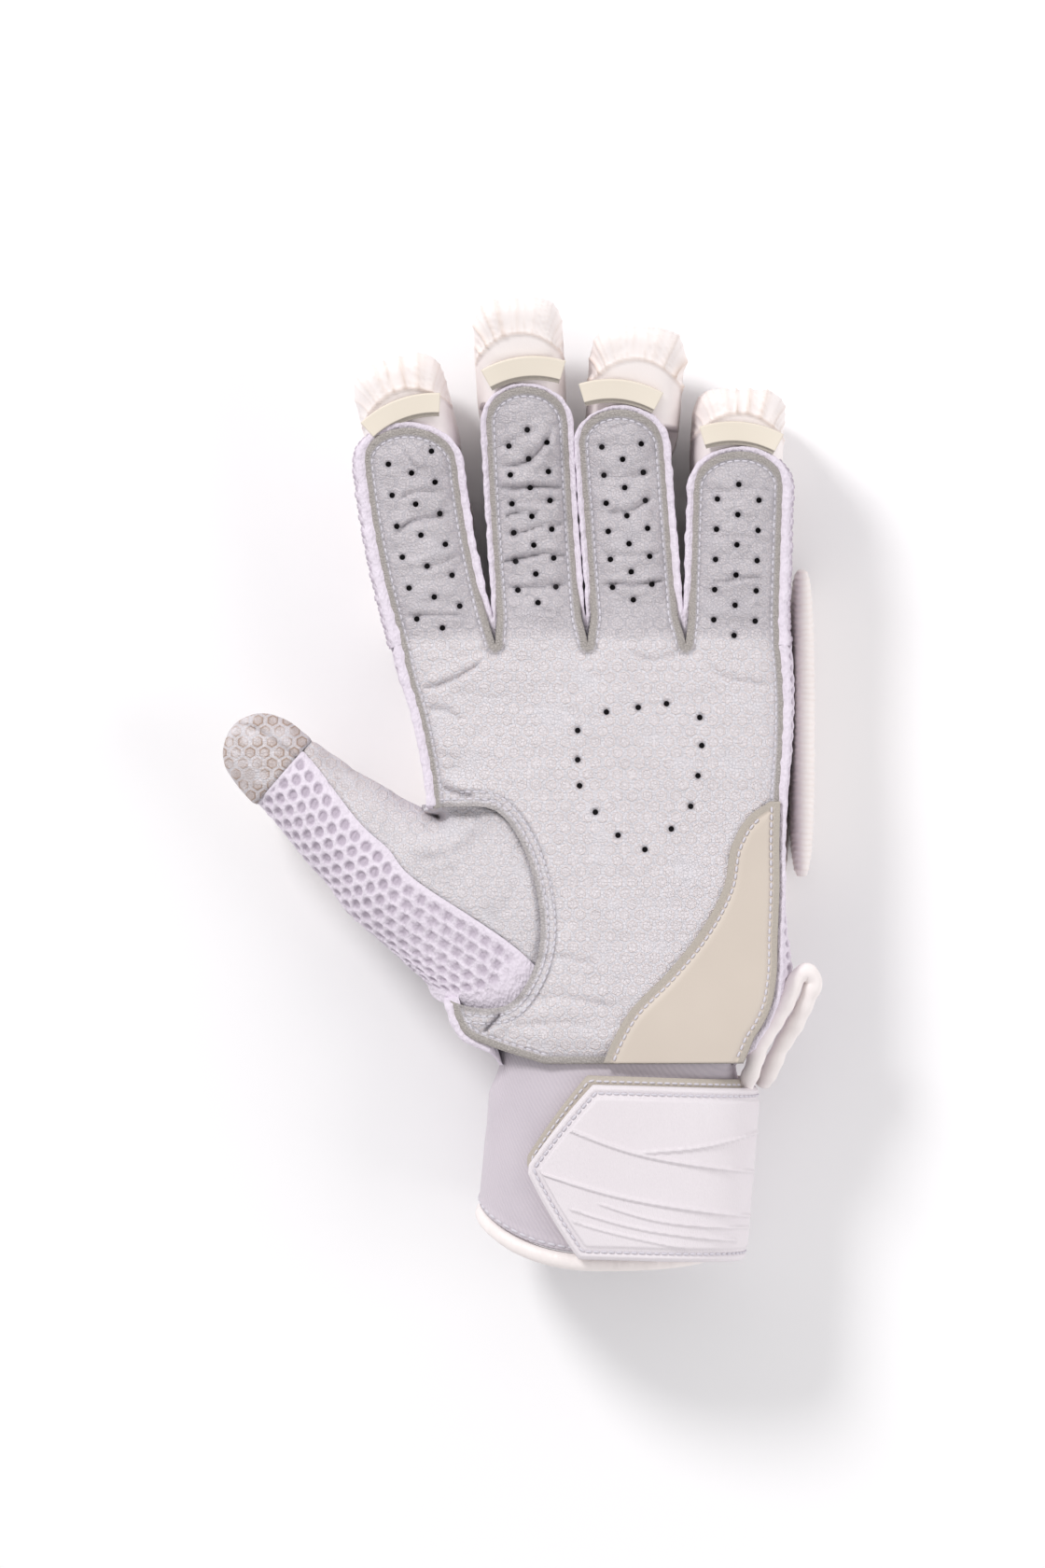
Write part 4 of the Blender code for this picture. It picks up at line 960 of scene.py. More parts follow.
OUTLINE = palm_outline()
THUMB_HOLE = np.concatenate(
    [
        [(-ROOT_WIDTH, thumb_base_point(0.0)[1] + THUMB_HOLE_LIP)],
        thumb_base_point(np.linspace(0, 185, 90), SEAM_GAP)[:, :2],
        [(-ROOT_WIDTH, thumb_base_point(185.0)[1])],
    ]
)
print("outline points", len(OUTLINE))

# %% [markdown]
# ## Palm leather
# The palm is thin leather, stitched all round, so it has a flat raw border, a pulled-down stitch
# line and a puffed middle. It is creased where the fingers bend. Creases could be sculpted by
# hand, but a table of them can be read off the photograph and corrected row by row.

# %% Creases and swellings
BORDER = 2.2 * MM
STITCH_INSET = 2.6 * MM
THUMB_SEAM_ROWS = (2.2 * MM, 4.2 * MM)
PUFF_HEIGHT = 0.9 * MM
PUFF_SPAN = 4.5 * MM
# Columns: three points of a crease across the leather, its depth and its width, in millimetres.
CREASES = table(
    "x0 y0 x1 y1 x2 y2 depth width",
    (-52.3, 7.6, -43.0, 8.6, -33.3, 8.0, 0.55, 0.8),
    (-55.7, 29.8, -50.2, 34.0, -38.8, 36.5, 0.75, 1.3),
    (-54.4, 39.9, -47.3, 42.5, -38.8, 43.3, 0.55, 1.1),
    (-53.2, 20.5, -43.0, 22.6, -35.4, 24.7, 0.45, 1.0),
    (-52.0, 55.5, -50.0, 51.0, -47.0, 48.0, 0.50, 0.9),
    (-46.0, 57.5, -46.5, 53.5, -44.5, 50.0, 0.35, 0.8),
    (-27.0, 43.3, -16.0, 44.2, -4.0, 43.9, 1.10, 0.9),
    (-25.3, 38.7, -14.3, 39.5, -5.8, 41.5, 0.50, 1.0),
    (-24.4, 34.9, -21.0, 36.7, -13.4, 37.0, 0.95, 0.8),
    (-25.7, 30.6, -17.6, 31.6, -5.0, 34.9, 0.75, 0.9),
    (-26.5, 23.2, -15.9, 24.9, -4.5, 25.1, 0.95, 0.8),
    (-26.1, 16.7, -17.6, 16.3, -5.8, 17.3, 0.55, 0.9),
    (-26.1, 49.2, -16.0, 52.2, -10.0, 60.2, 0.85, 1.2),
    (-10.0, 60.2, -8.4, 63.0, -7.6, 66.0, 0.80, 0.9),
    (-27.0, 54.3, -21.0, 57.7, -13.4, 59.4, 0.45, 1.0),
    (-26.0, 9.5, -16.0, 10.0, -6.0, 9.0, 0.35, 0.9),
    (1.5, 17.1, 12.0, 17.1, 23.0, 17.9, 0.90, 0.8),
    (3.5, 36.6, 11.1, 37.4, 17.9, 42.5, 0.55, 1.1),
    (2.0, 25.5, 12.0, 24.9, 22.0, 26.0, 0.40, 0.9),
    (2.7, 59.4, 12.0, 61.0, 19.6, 57.7, 0.35, 1.1),
    (2.5, 47.5, 10.0, 46.5, 18.5, 48.5, 0.30, 0.9),
    (31.4, 17.1, 40.7, 18.4, 50.0, 17.9, 0.45, 0.9),
    (32.3, 42.5, 41.6, 43.3, 52.6, 42.5, 0.30, 0.9),
    (31.5, 29.0, 41.0, 30.0, 51.5, 29.0, 0.30, 0.9),
    (-49.0, -12.2, -38.0, -9.5, -28.0, -3.1, 0.80, 1.1),
    (-47.0, -17.0, -40.1, -18.1, -34.8, -21.3, 0.60, 1.1),
    (-43.5, -37.0, -39.0, -40.7, -31.6, -42.4, 1.10, 1.2),
    (-44.5, -30.0, -41.0, -31.5, -37.0, -31.5, 0.50, 0.9),
    (-20.7, -88.8, -7.8, -86.6, 3.0, -88.8, 0.35, 1.3),
    (-26.9, -99.6, -9.8, -98.0, 9.5, -100.6, 0.55, 1.6),
    (-24.0, -106.6, -12.0, -105.0, 2.0, -106.6, 0.35, 1.3),
    (31.1, -5.8, 40.7, -10.1, 51.4, -11.2, 0.50, 1.2),
    (-26.0, 3.0, -30.5, -2.0, -38.0, -4.0, 0.35, 1.2),
    (10.0, -2.0, 18.0, -4.0, 26.0, -1.5, 0.40, 1.4),
    (-31.0, -109.5, -27.8, -105.8, -24.5, -102.0, 1.30, 1.1),
)
# Columns: the middle of a swelling, its radius and its height, in millimetres.
SWELLS = table(
    "x y radius height",
    (-13.0, 54.5, 5.5, 1.1),
    (-48.0, 46.7, 6.5, 0.9),
    (-43.0, 28.5, 7.0, 0.7),
    (-9.5, 38.5, 5.0, 0.6),
    (-15.0, 28.0, 7.0, 0.5),
    (11.0, 53.0, 8.0, 0.6),
    (14.0, 31.0, 7.0, 0.5),
    (41.0, 36.0, 9.0, 0.6),
    (-39.0, -27.0, 6.0, 0.8),
    (40.0, -4.0, 7.0, 0.7),
    (-8.0, -103.0, 9.0, 0.6),
    (-30.0, -8.0, 9.0, 0.6),
)

# %% [markdown]
# Height is the sum of a groove at the stitches, a puff inside them, the creases and soft noise.
# Each is a function of the distance from an edge or a crease.

# %% Relief of the palm leather


def drawn_line(row, count):
    """A smooth line through the three points of a table row."""
    points = np.array([(row[f"x{i}"], row[f"y{i}"]) for i in range(3)]) * MM
    return through((0.0, 0.5, 1.0), points, np.linspace(0, 1, count))


def creased(x, y):
    """Sharp grooves between soft swellings, fading at the ends of each crease."""
    height = np.zeros_like(x)
    wander = ripple(x / (3.1 * MM), y / (3.1 * MM), 0.7) * 0.5 * MM
    for row in CREASES:
        line = drawn_line(row, 12)
        reach = 5 * row["width"] * MM
        low, high = line.min(0) - reach, line.max(0) + reach
        near = (x > low[0]) & (x < high[0]) & (y > low[1]) & (y < high[1])
        gap, where = edge_distance(x[near], y[near] + wander[near], line)
        share = where / lengths(line)[-1]
        fade = ease(share / 0.2) * ease((1 - share) / 0.2)
        width = row["width"] * MM
        profile = -bell(gap, 0.55 * width) + 0.45 * bell(gap - 2.0 * width, 1.4 * width)
        height[near] += row["depth"] * MM * fade * profile
    for row in SWELLS:
        gap = np.hypot(x - row["x"] * MM, y - row["y"] * MM)
        height += row["height"] * MM * bell(gap, row["radius"] * MM)
    return height


def palm_relief(x, y):
    """The palm's height over palm_top, how raw its edge is, and the painted shade of its seams and folds.
    """
    inset, _ = edge_distance(x, y, OUTLINE)
    raw = ease((BORDER - inset) / (0.4 * MM))
    stitched = -0.5 * MM * bell(inset - STITCH_INSET, 0.45 * MM)
    puff = PUFF_HEIGHT * ease((inset - STITCH_INSET) / PUFF_SPAN)
    inner = ease((inset - STITCH_INSET) / (1.5 * MM))
    on_fingers = ease((y + 4 * MM) / (10 * MM))
    seam = ripple(x / (2.9 * MM), y / (1.4 * MM), 1.9) * (0.16 + 0.30 * on_fingers) * MM
    puckers = np.sin(2 * np.pi * (x + y) / (2.6 * MM)) * 0.06 * MM
    pull = puckers * bell(inset - STITCH_INSET - 0.8 * MM, 1.0 * MM)
    turned = -0.35 * MM * ease((0.7 * MM - inset) / (0.7 * MM))
    broad = ripple(x / (8.5 * MM), y / (6.0 * MM), 4.2) * (0.22 + 0.25 * on_fingers) * MM
    folds = creased(x, y) * (1.25 + 0.25 * on_fingers)
    height = stitched + puff + turned + pull * inner + inner * (folds + seam + broad)
    # valley is painted shade: dark along the stitch groove and in the creases.
    valley = 0.55 * bell(inset - STITCH_INSET, 0.40 * MM) + 0.5 * inner * np.clip(-folds / (0.9 * MM), 0, 1)
    from_hole, _ = edge_distance(x, y, THUMB_HOLE)
    lip = ease((1.5 * MM - from_hole) / (0.3 * MM))
    for row in THUMB_SEAM_ROWS:
        sewn = bell(from_hole - row, 0.42 * MM) * inner
        height = height - 0.35 * MM * sewn
        # Painted shade in the grooves of the thumb's seams.
        valley = np.maximum(valley, 0.55 * sewn)
    return height - PUFF_HEIGHT * 0.4, np.maximum(raw, 0.6 * lip), valley


def on_palm(x, y):
    """Points on the palm's finished surface."""
    relief = palm_relief(x, y)[0]
    return np.stack([x, y, palm_top(x, y) + relief], axis=-1)


# %% [markdown]
# Holes in a grid leave ragged, square edges, and a Boolean would be slow on so many. Here the
# points near the thumb's opening are moved on to its edge, and every free edge is then turned
# down to show the thickness of the leather.

# %% Holes and free edges


def inside_shape(x, y, line):
    """Whether points lie inside a closed line: how often a ray to the right crosses it."""
    inside = np.zeros(x.shape, bool)
    for (x0, y0), (x1, y1) in zip(line, np.roll(line, -1, axis=0)):
        if y0 == y1:
            continue
        crosses = (y0 > y) != (y1 > y)
        inside ^= crosses & (x < (x1 - x0) * (y - y0) / (y1 - y0) + x0)
    return inside


def nearest_on(x, y, line):
    """The nearest points of a line."""
    _, where = edge_distance(x, y, line)
    walked = lengths(line)
    return np.interp(where, walked, line[:, 0]), np.interp(where, walked, line[:, 1])


def vent_places():
    """The middles of the ventilation holes: a ring on the palm, then rows up each finger."""
    places = [(row["across"] * ROOT_WIDTH, -row["down"] * PALM_LENGTH) for row in PALM_VENTS]
    for name, row in FINGERS.items():
        vents = FINGER_VENTS[name]
        slant = -np.tan(np.radians(row["lean"]))
        for number in range(vents["rows"]):
            s = vents["start"] + vents["pitch"] * number
            shares = (0.0,) if number % 2 == 0 else (-FINGER_VENT_SPREAD, FINGER_VENT_SPREAD)
            for share in shares:
                aside = row["front"] / 2 * share
                places.append((finger_middle(name, s) + aside, s + aside * slant))
    return np.array(places)


def free_edges(triangles):
    """Edges that belong to one face only, in the direction that face runs."""
    edges = np.concatenate([triangles[:, [0, 1]], triangles[:, [1, 2]], triangles[:, [2, 0]]])
    key = np.sort(edges, axis=1)
    _, index, count = np.unique(key, axis=0, return_index=True, return_counts=True)
    return edges[index[count == 1]]


def turned_down(points, faces, depth, values):
    """Adds a wall of a given depth under every free edge."""
    triangles = np.concatenate([faces[:, [0, 1, 2]], faces[:, [0, 2, 3]]])
    edges = free_edges(triangles)
    count = len(points)
    lower = points - (0.0, 0.0, depth)
    wall = np.stack([edges[:, 1], edges[:, 0], edges[:, 0] + count, edges[:, 1] + count], axis=1)
    everything = np.concatenate([points, lower])
    all_values = {key: np.concatenate([value, value]) for key, value in values.items()}
    return everything, np.concatenate([faces, wall]), all_values

# %% [markdown]
# Each ventilation hole is punched round. The faces near it are taken out, and a ring of triangles
# joins what is left to a true circle.

# %% One ventilation hole


def open_vent(x, y, faces, middle):
    """Opens one round hole: the faces near it go, and triangles join their edge to a circle."""
    touched = (np.hypot(x - middle[0], y - middle[1]) < VENT_REACH)[faces].any(axis=1)
    gone = faces[touched]
    edges = np.concatenate([gone[:, [i, (i + 1) % 4]] for i in range(4)])
    _, index, count = np.unique(np.sort(edges, axis=1), axis=0, return_index=True, return_counts=True)
    outer = np.unique(edges[index[count == 1]])
    turn = np.linspace(-np.pi, np.pi, VENT_SIDES, endpoint=False)
    inner = len(x) + np.arange(VENT_SIDES)
    x = np.append(x, middle[0] + VENT_RADIUS * np.cos(turn))
    y = np.append(y, middle[1] + VENT_RADIUS * np.sin(turn))
    outer_turn = np.arctan2(y[outer] - middle[1], x[outer] - middle[0])
    order = np.argsort(np.concatenate([outer_turn, turn]))
    points = np.concatenate([outer, inner])[order]
    is_inner = order >= len(outer)
    steps = np.arange(len(points))
    last = []
    for wanted in (~is_inner, is_inner):
        seen = np.maximum.accumulate(np.where(wanted, steps, -1))
        last.append(points[np.where(seen < 0, steps[wanted][-1], seen)])
    last_outer, last_inner = np.roll(last[0], 1), np.roll(last[1], 1)
    around = np.stack([last_inner, last_outer, points, points], axis=1)
    inwards = np.stack([last_outer, points, last_inner, last_inner], axis=1)
    joined = np.where(is_inner[:, None], inwards, around)
    if not upward(x, y, gone[:1]):
        joined = joined[:, [0, 2, 1, 1]]
    return x, y, np.concatenate([faces[~touched], joined])


def upward(x, y, quad):
    """Whether a face runs anticlockwise seen from above."""
    a, b, c = quad[0, :3]
    return (x[b] - x[a]) * (y[c] - y[a]) > (x[c] - x[a]) * (y[b] - y[a])


# %% [markdown]
# The palm and the four finger fronts are one piece. Four grids run up the fingers and one over
# the palm. Their shared points are merged, so the leather has no seam where the real one has
# none.

# %% Palm leather
VENT_SIDES = 14
VENT_REACH = 1.25 * MM
COLUMNS_PER_FINGER = 44
PALM_ROWS = 190


def palm_grids():
    """The grids of the four finger fronts and of the palm, as x and y."""
    grids = []
    across = np.linspace(-1, 1, COLUMNS_PER_FINGER + 1)
    roots = []
    for name in FINGERS:
        s = finger_stations(name, 84, 30)
        x = finger_middle(name, s)[:, None] + finger_half(name, s)[:, None] * across
        grids.append((x, s[:, None] + 0 * across))
        roots.append(x[0][:-1])
    shares = np.append(np.concatenate(roots), ROOT_WIDTH / 2) / ROOT_WIDTH + 0.5
    y = np.linspace(0, -PALM_LENGTH, PALM_ROWS)
    left, right = palm_edge(y, "left"), palm_edge(y, "right")
    grids.append((left[:, None] + (right - left)[:, None] * shares, y[:, None] + 0 * shares))
    return grids


def join_grids(grids):
    """One list of points and faces from several grids; shared points are merged by place."""
    xs, ys, faces, count = [], [], [], 0
    for number, (x, y) in enumerate(grids):
        quads = grid_faces(*x.shape)
        if number == len(grids) - 1:
            quads = quads[:, ::-1]
        faces.append(quads + count)
        xs.append(x.ravel())
        ys.append(y.ravel())
        count += x.size
    return np.concatenate(xs), np.concatenate(ys), np.concatenate(faces)


def weld(x, y, faces):
    """Merges points that share a place."""
    keys = np.round(np.stack([x, y], axis=1) / WELD_REACH).astype(np.int64)
    _, first, same = np.unique(keys, axis=0, return_index=True, return_inverse=True)
    return x[first], y[first], same.reshape(-1)[faces]


def make_palm():
    """The palm leather: a sheet over palm_top with holes, relief and a turned-down edge."""
    x, y, faces = weld(*join_grids(palm_grids()))
    hole = inside_shape(x, y, THUMB_HOLE)
    near = hole & (edge_distance(x, y, THUMB_HOLE)[0] < 1.3 * MM)
    x[near], y[near] = nearest_on(x[near], y[near], THUMB_HOLE)
    faces = faces[~hole[faces].all(axis=1)]
    for middle in vent_places():
        x, y, faces = open_vent(x, y, faces, middle)
    relief, raw, valley = palm_relief(x, y)
    for middle in vent_places():
        away = np.hypot(x - middle[0], y - middle[1])
        relief -= 0.30 * MM * bell(away - 0.4 * MM, 0.9 * MM)
        # Painted shade round the rim of each vent.
        valley = np.maximum(valley, 0.45 * bell(away - VENT_RADIUS, 0.35 * MM))
    points = np.stack([x, y, palm_top(x, y) + relief], axis=1) + SHIFT
    # 1 on the palm and about 0.35 up the fingers: it thins the print and darkens the fingers' grey, partly
    # their own tone and partly painted shade.
    printed_and_lit = 0.35 + 0.65 * ease((6 * MM - y) / (8 * MM))
    values = {"raw": raw, "printed_and_lit": printed_and_lit * (1 - raw), "valley": valley}
    points, faces, values = turned_down(points, faces, 1.3 * MM, values)
    made = make_mesh("palm_leather_skin", points, faces, values)
    return dress(made, "palm_leather", ["palm_leather"])


make_palm()

# %% [markdown]
# Through the holes one sees a lining, painted dark grey as the shade inside the glove. It is a
# plain coarse copy of the palm, just below the leather.

# %% Lining of the palm, painted dark as shade


def make_shaded_lining():
    """The cloth lining just under the leather, seen only through its holes and painted dark grey as shade.
    """
    x, y, faces = weld(*join_grids([(gx[::4, ::4], gy[::4, ::4]) for gx, gy in palm_grids()]))
    hole = inside_shape(x, y, THUMB_HOLE)
    inset, _ = edge_distance(x, y, OUTLINE)
    faces = faces[~hole[faces].any(axis=1)]
    z = palm_top(x, y) - 2.2 * MM - 1.0 * MM * ease((4 * MM - inset) / (4 * MM))
    points = np.stack([x, y, z], axis=1)
    made = make_mesh("palm_shaded_lining", points + SHIFT, faces)
    return dress(made, "shaded_lining")


make_shaded_lining()

# %% [markdown]
# ## Spacer mesh
# The sides and the back are spacer mesh: a soft welt along the leather's edge, then a wall with
# staggered holes. The profile below runs from under the leather over the welt, down the wall and
# in along the floor. Carried along an edge it makes the whole side in one sweep.

# %% Profile of the mesh
WELTS = {
    "index": (2.1, 1.7),
    "middle": (1.25, 1.20),
    "ring": (1.20, 1.65),
    "little": (1.5, 1.9),
}
# Columns: distance outside the leather's edge as a share of the welt, and height over it in
# millimetres.
WELT_PROFILE = table(
    "out up",
    (-1.3, -1.1),
    (-0.6, -0.5),
    (0.05, 0.15),
    (0.40, 0.55),
    (0.80, 0.45),
    (1.00, -0.25),
    (0.95, -1.10),
    (0.65, -1.80),
    (0.45, -2.60),
)
FINGER_HOLES = dict(pitch=3.3, radius=0.95, depth=0.65)
THUMB_HOLES = dict(pitch=4.3, radius=1.45, depth=0.95)


def mesh_holes(along, around, holes):
    """Staggered round holes, 1 in their middle, on a surface measured in metres both ways."""
    pitch, row = holes["pitch"] * MM, holes["pitch"] * 0.87 * MM
    found = np.zeros(np.broadcast(along, around).shape)
    for shift_a, shift_b in ((0.0, 0.0), (0.5 * pitch, row)):
        a = np.mod(along + shift_a, pitch) - pitch / 2
        b = np.mod(around + shift_b, 2 * row) - row
        rim = holes["radius"] * MM + 0.35 * MM
        found = np.maximum(found, ease((rim - np.hypot(a, b)) / (0.7 * MM)))
    return found


def wall_profile(count):
    """The welt, the wall, its rounded foot and the floor: out (shares of the welt), up from the
    leather's edge (metres), the wall's share (0 at its top, 1 at the floor), in (metres) and how
    far the point has gone to the middle of the floor."""
    welt = [(row["out"], row["up"] * MM, 0.0, 0.0, 0.0) for row in WELT_PROFILE]
    top_up = WELT_PROFILE[-1]["up"] * MM
    wall = [(0.45, top_up, share, 0.0, 0.0) for share in np.linspace(0.06, 0.66, 12)]
    foot = []
    for turn in np.radians(np.linspace(0, 90, 8)):
        share = 0.68 + 0.32 * np.sin(turn)
        foot.append((0.45 * np.cos(turn), top_up, share, CHANNEL_CORNER * (1 - np.cos(turn)), 0.0))
    floor = [(0.0, top_up, 1.0, CHANNEL_CORNER, share) for share in np.linspace(0.2, 1.0, 5)]
    rows = np.array(welt + wall + foot + floor)
    out, up, share, inward, middle = rows.T
    size = np.stack([out * 1.5 * MM - inward, up - share * 18 * MM, middle * 8 * MM], axis=1)
    walked = lengths(size)
    at = np.linspace(0, walked[-1], count)
    return np.stack([np.interp(at, walked, rows[:, i]) for i in range(5)], axis=1), at


def wall_points(edge, outward, welt, centre, top, floor, gate, bulge, count):
    """A grid of the profile carried along an edge. top and floor are heights along it."""
    profile, walked = wall_profile(count)
    out, up, share, inward, middle = profile.T
    reach = out[None] * welt[:, None] - inward[None]
    reach = reach + bulge[:, None] * np.sin(np.pi * np.clip(share * 1.25, 0, 1))[None]
    flat = edge[:, None] + outward[:, None] * reach[..., None]
    flat = flat + (centre[:, None] - flat) * middle[None, :, None]
    z = top[:, None] + up[None] + (floor - top - WELT_PROFILE[-1]["up"] * MM)[:, None] * share[None]
    z = floor[:, None] + (z - floor[:, None]) * gate[:, None]
    return np.concatenate([flat, z[..., None]], axis=2), walked

# %% [markdown]
# Each finger lies in a channel of mesh that is carried round its outline. Cutting real holes
# would cost many more faces, so they are pressed in and given painted shade to look deep.

# %% Finger channels


def outward_of(line, inner):
    """Unit directions square to a line, pointing away from inner points."""
    along = np.gradient(line, axis=0)
    normal = np.stack([along[:, 1], -along[:, 0]], axis=1)
    normal *= np.sign((normal * (line - inner)).sum(1, keepdims=True) + 1e-15)
    return normal / np.maximum(np.linalg.norm(normal, axis=1, keepdims=True), 1e-12)


def yarn(points):
    """The fine unevenness of the yarn."""
    return ripple(points[..., 0] / (0.9 * MM), points[..., 1] / (0.9 * MM), 2.1) * 0.17 * MM


WALL_COLUMN = 20


def fabric(points, walked, share):
    """Holes pressed in between the shares 0.20 and 0.80 of the profile, measured along one column."""
    limit = ease((share - 0.20) / 0.05) * ease((0.80 - share) / 0.05)
    along = lengths(points[:, WALL_COLUMN])
    # hole is also the mask of the painted shade in the holes.
    hole = mesh_holes(along[:, None], walked[None], FINGER_HOLES) * limit
    return raised(points, -FINGER_HOLES["depth"] * MM * hole), hole


def make_finger_mesh(name):
    """The channel of a finger."""
    names = list(FINGERS)
    line = even(finger_outline(name, 210), 270)
    s = np.clip(line[:, 1], 0.05 * MM, None)
    line[:, 1] = s
    length = FINGERS[name]["length"]
    pulled = np.minimum(s, length - TIP_ROUND)
    centre = np.stack([finger_middle(name, pulled), pulled], axis=1)
    outward = outward_of(line, np.stack([finger_middle(name, s * 0.94), s * 0.94 - 2 * MM], axis=1))
    side = ease(0.5 + (line[:, 0] - centre[:, 0]) / (10 * MM))
    left, right = WELTS[name]
    root = ease(s / (7 * MM))
    outermost = {names[0]: 1 - side, names[-1]: side}.get(name, 0 * side)
    welt = (left + (right - left) * side) * MM * (0.45 + 0.55 * np.maximum(root, outermost))
    welt = welt * (1 + 0.10 * ripple(lengths(line) / (2.6 * MM), s / (3.3 * MM), left))
    fade = finger_half(name, s) / (FINGERS[name]["front"] / 2)
    bulge = OUTER_BULGE * 0.7 * outermost * fade
    top = EDGE_Z + LEATHER + lift(s)
    floor = BACK_Z + lift(s)
    gate = np.ones(len(line))
    points, walked = wall_points(line, outward, welt, centre, top, floor, gate, bulge, 56)
    points = raised(points, -yarn(points))
    points, hole = fabric(points, walked, np.linspace(0, 1, 56)[None])
    made = surface(f"{name}_mesh_skin", points[::-1], values={"hole": hole[::-1]})
    return dress(made, "mesh_fabric", [f"{name}_mesh"])



# %% [markdown]
# The hand's mesh covers both sides and the back, opens where the thumb is sewn in, and is
# gathered in to the neck of the cuff, as cloth is before it is sewn to a narrower piece.

# %% Mesh of the hand
HEEL_ROWS = 10


def gathered(edge):
    """Rows that gather the mesh's lower edge in to the neck of the cuff."""
    neck = cuff_point(np.array((0.0, 90.0, 180.0)), -PALM_LENGTH)
    centre = np.array((neck[[0, 2], 0].mean(), neck[0, 2]))
    angle = np.degrees(np.arctan2(edge[:, 2] - centre[1], edge[:, 0] - centre[0]))
    sewn = cuff_point(angle, -PALM_LENGTH - 0.8 * MM, 0.2 * MM)
    share = ease(np.linspace(0, 1, HEEL_ROWS + 1)[1:])[:, None, None]
    return edge + (sewn - edge) * share


def make_hand_mesh():
    """The mesh of the hand: both sides and the back, with the thumb's opening in its left side."""
    y = np.linspace(-0.05 * MM, -HAND_MESH_END * PALM_LENGTH, 230)
    down = -y / PALM_LENGTH
    left, right = palm_edge(y, "left"), palm_edge(y, "right")
    heel_left = np.maximum(left, HEEL_MESH_LEFT * ROOT_WIDTH)
    tucked = np.where(down > THUMB_GATE_END["down"], heel_left, left)
    middle = np.stack([(tucked + right) / 2, y], axis=1)
    opened, closed = [
        ease((down - gate["down"]) / gate["fade"]) for gate in (THUMB_GATE_TOP, THUMB_GATE_END)
    ]
    top = EDGE_Z + LEATHER + heel_rise(y)
    floor = np.full(len(y), BACK_Z)
    halves = []
    for edge, gate, bulge, welt in (
        (tucked, 1 - opened * (1 - closed), OUTER_BULGE * 0.7 * ease(1 - down / 0.3), 1.9),
        (right, np.ones(len(y)), OUTER_BULGE * (1 - down) + 3.4 * MM * bell(down - 0.80, 0.13), 1.7),
    ):
        line = np.stack([edge, y], axis=1)
        outward = outward_of(line, middle)
        width = welt * MM * np.ones(len(y)) * (0.4 + 0.6 * gate)
        gate = np.maximum(gate, 0.02)
        points, walked = wall_points(line, outward, width, middle, top, floor, gate, bulge, 54)
        halves.append(points)
    points = np.concatenate([halves[0], halves[1][:, ::-1][:, 1:]], axis=1)
    share = np.concatenate([np.linspace(0, 1, 54), np.linspace(1, 0, 54)[1:]])[None]
    walked = np.concatenate([walked, 2 * walked[-1] - walked[::-1][1:]])
    points = raised(points, yarn(points))
    points, hole = fabric(points, walked, share)
    points = np.concatenate([points, gathered(points[-1])])
    hole = np.concatenate([hole, np.repeat(hole[-1:], HEEL_ROWS, axis=0) * 0])
    made = surface("hand_mesh_skin", points, values={"hole": hole})
    return dress(made, "mesh_fabric", ["hand_mesh"])


for finger in FINGERS:
    make_finger_mesh(finger)
make_hand_mesh()

# %% [markdown]
# ## Stuffed rolls
# The back of the glove is covered with rolls: tubes of white leather stuffed with fibre and sewn
# across. They could be inflated by a cloth simulation. A squared-up ellipsoid with soft creases
# comes close and keeps to the CAD's size.

# %% A stuffed roll


CURVE_STEPS = 4001


def squared_curve(wide, deep, squareness, count):
    """Points evenly spaced along x = wide |cos|^q, z = deep |sin|^q."""
    turn = np.linspace(0, 2 * np.pi, CURVE_STEPS)
    x = wide * squared(np.cos(turn), squareness)
    z = deep * squared(np.sin(turn), squareness)
    walked = lengths(np.stack([x, z], axis=1))
    at = np.linspace(0, walked[-1], count)
    return np.interp(at, walked, x), np.interp(at, walked, z)


def pillow_points(centre, size, turn, squareness, rows, around):
    """A grid over a squared-up ellipsoid whose long axis is its own y, turned about z."""
    width, length, height = size
    ring_x, ring_z = squared_curve(width / 2, height / 2, squareness, around + 1)
    ring_x, ring_z = ring_x[:-1], ring_z[:-1]
    half = np.linspace(0, np.pi, CURVE_STEPS)
    y = length / 2 * squared(np.cos(half), squareness)
    reach = np.sin(half) ** (0.75 * squareness)
    walked = lengths(np.stack([y, reach * (width + height) / 4], axis=1))
    at = np.linspace(0, walked[-1], rows)
    y, reach = np.interp(at, walked, y), np.interp(at, walked, reach)
    x = reach[:, None] * ring_x
    z = reach[:, None] * ring_z
    y = y[:, None] + 0 * x
    angle = np.radians(turn)
    return np.stack(
        [
            centre[0] + x * np.cos(angle) - y * np.sin(angle),
            centre[1] + x * np.sin(angle) + y * np.cos(angle),
            centre[2] + z,
        ],
        axis=-1,
    )


def rested(points):
    """The roll stretched down by REST_SQUASH, lifted with the curl and stopped by the ground."""
    top = points[..., 2].max()
    z = top - (top - points[..., 2]) * (top + REST_SQUASH) / top
    z = np.maximum(0.0, z + lift(points[..., 1]))
    return np.concatenate([points[..., :2], z[..., None]], axis=2)


ROLL_CREASE = 0.35 * MM
CREASE_SIZE = 4.0 * MM


def roll_creases(points, seed, depth):
    """Soft creases: long ones round the roll, deeper at its ends, and a fine ripple."""
    rows, around = points.shape[:2]
    end = np.abs(np.linspace(-1, 1, rows))[:, None] ** 3
    turn = np.linspace(0, 2 * np.pi, around, endpoint=False)[None]
    gathers = np.sin(17 * turn + 1.7 * np.sin(3 * turn + seed)) * end * 0.8
    across, up = points[..., 0] / CREASE_SIZE, points[..., 2] / CREASE_SIZE
    waves = ripple(across + seed, points[..., 1] / (0.5 * CREASE_SIZE) + up, seed)
    return -np.abs(gathers + 0.6 * waves) * depth


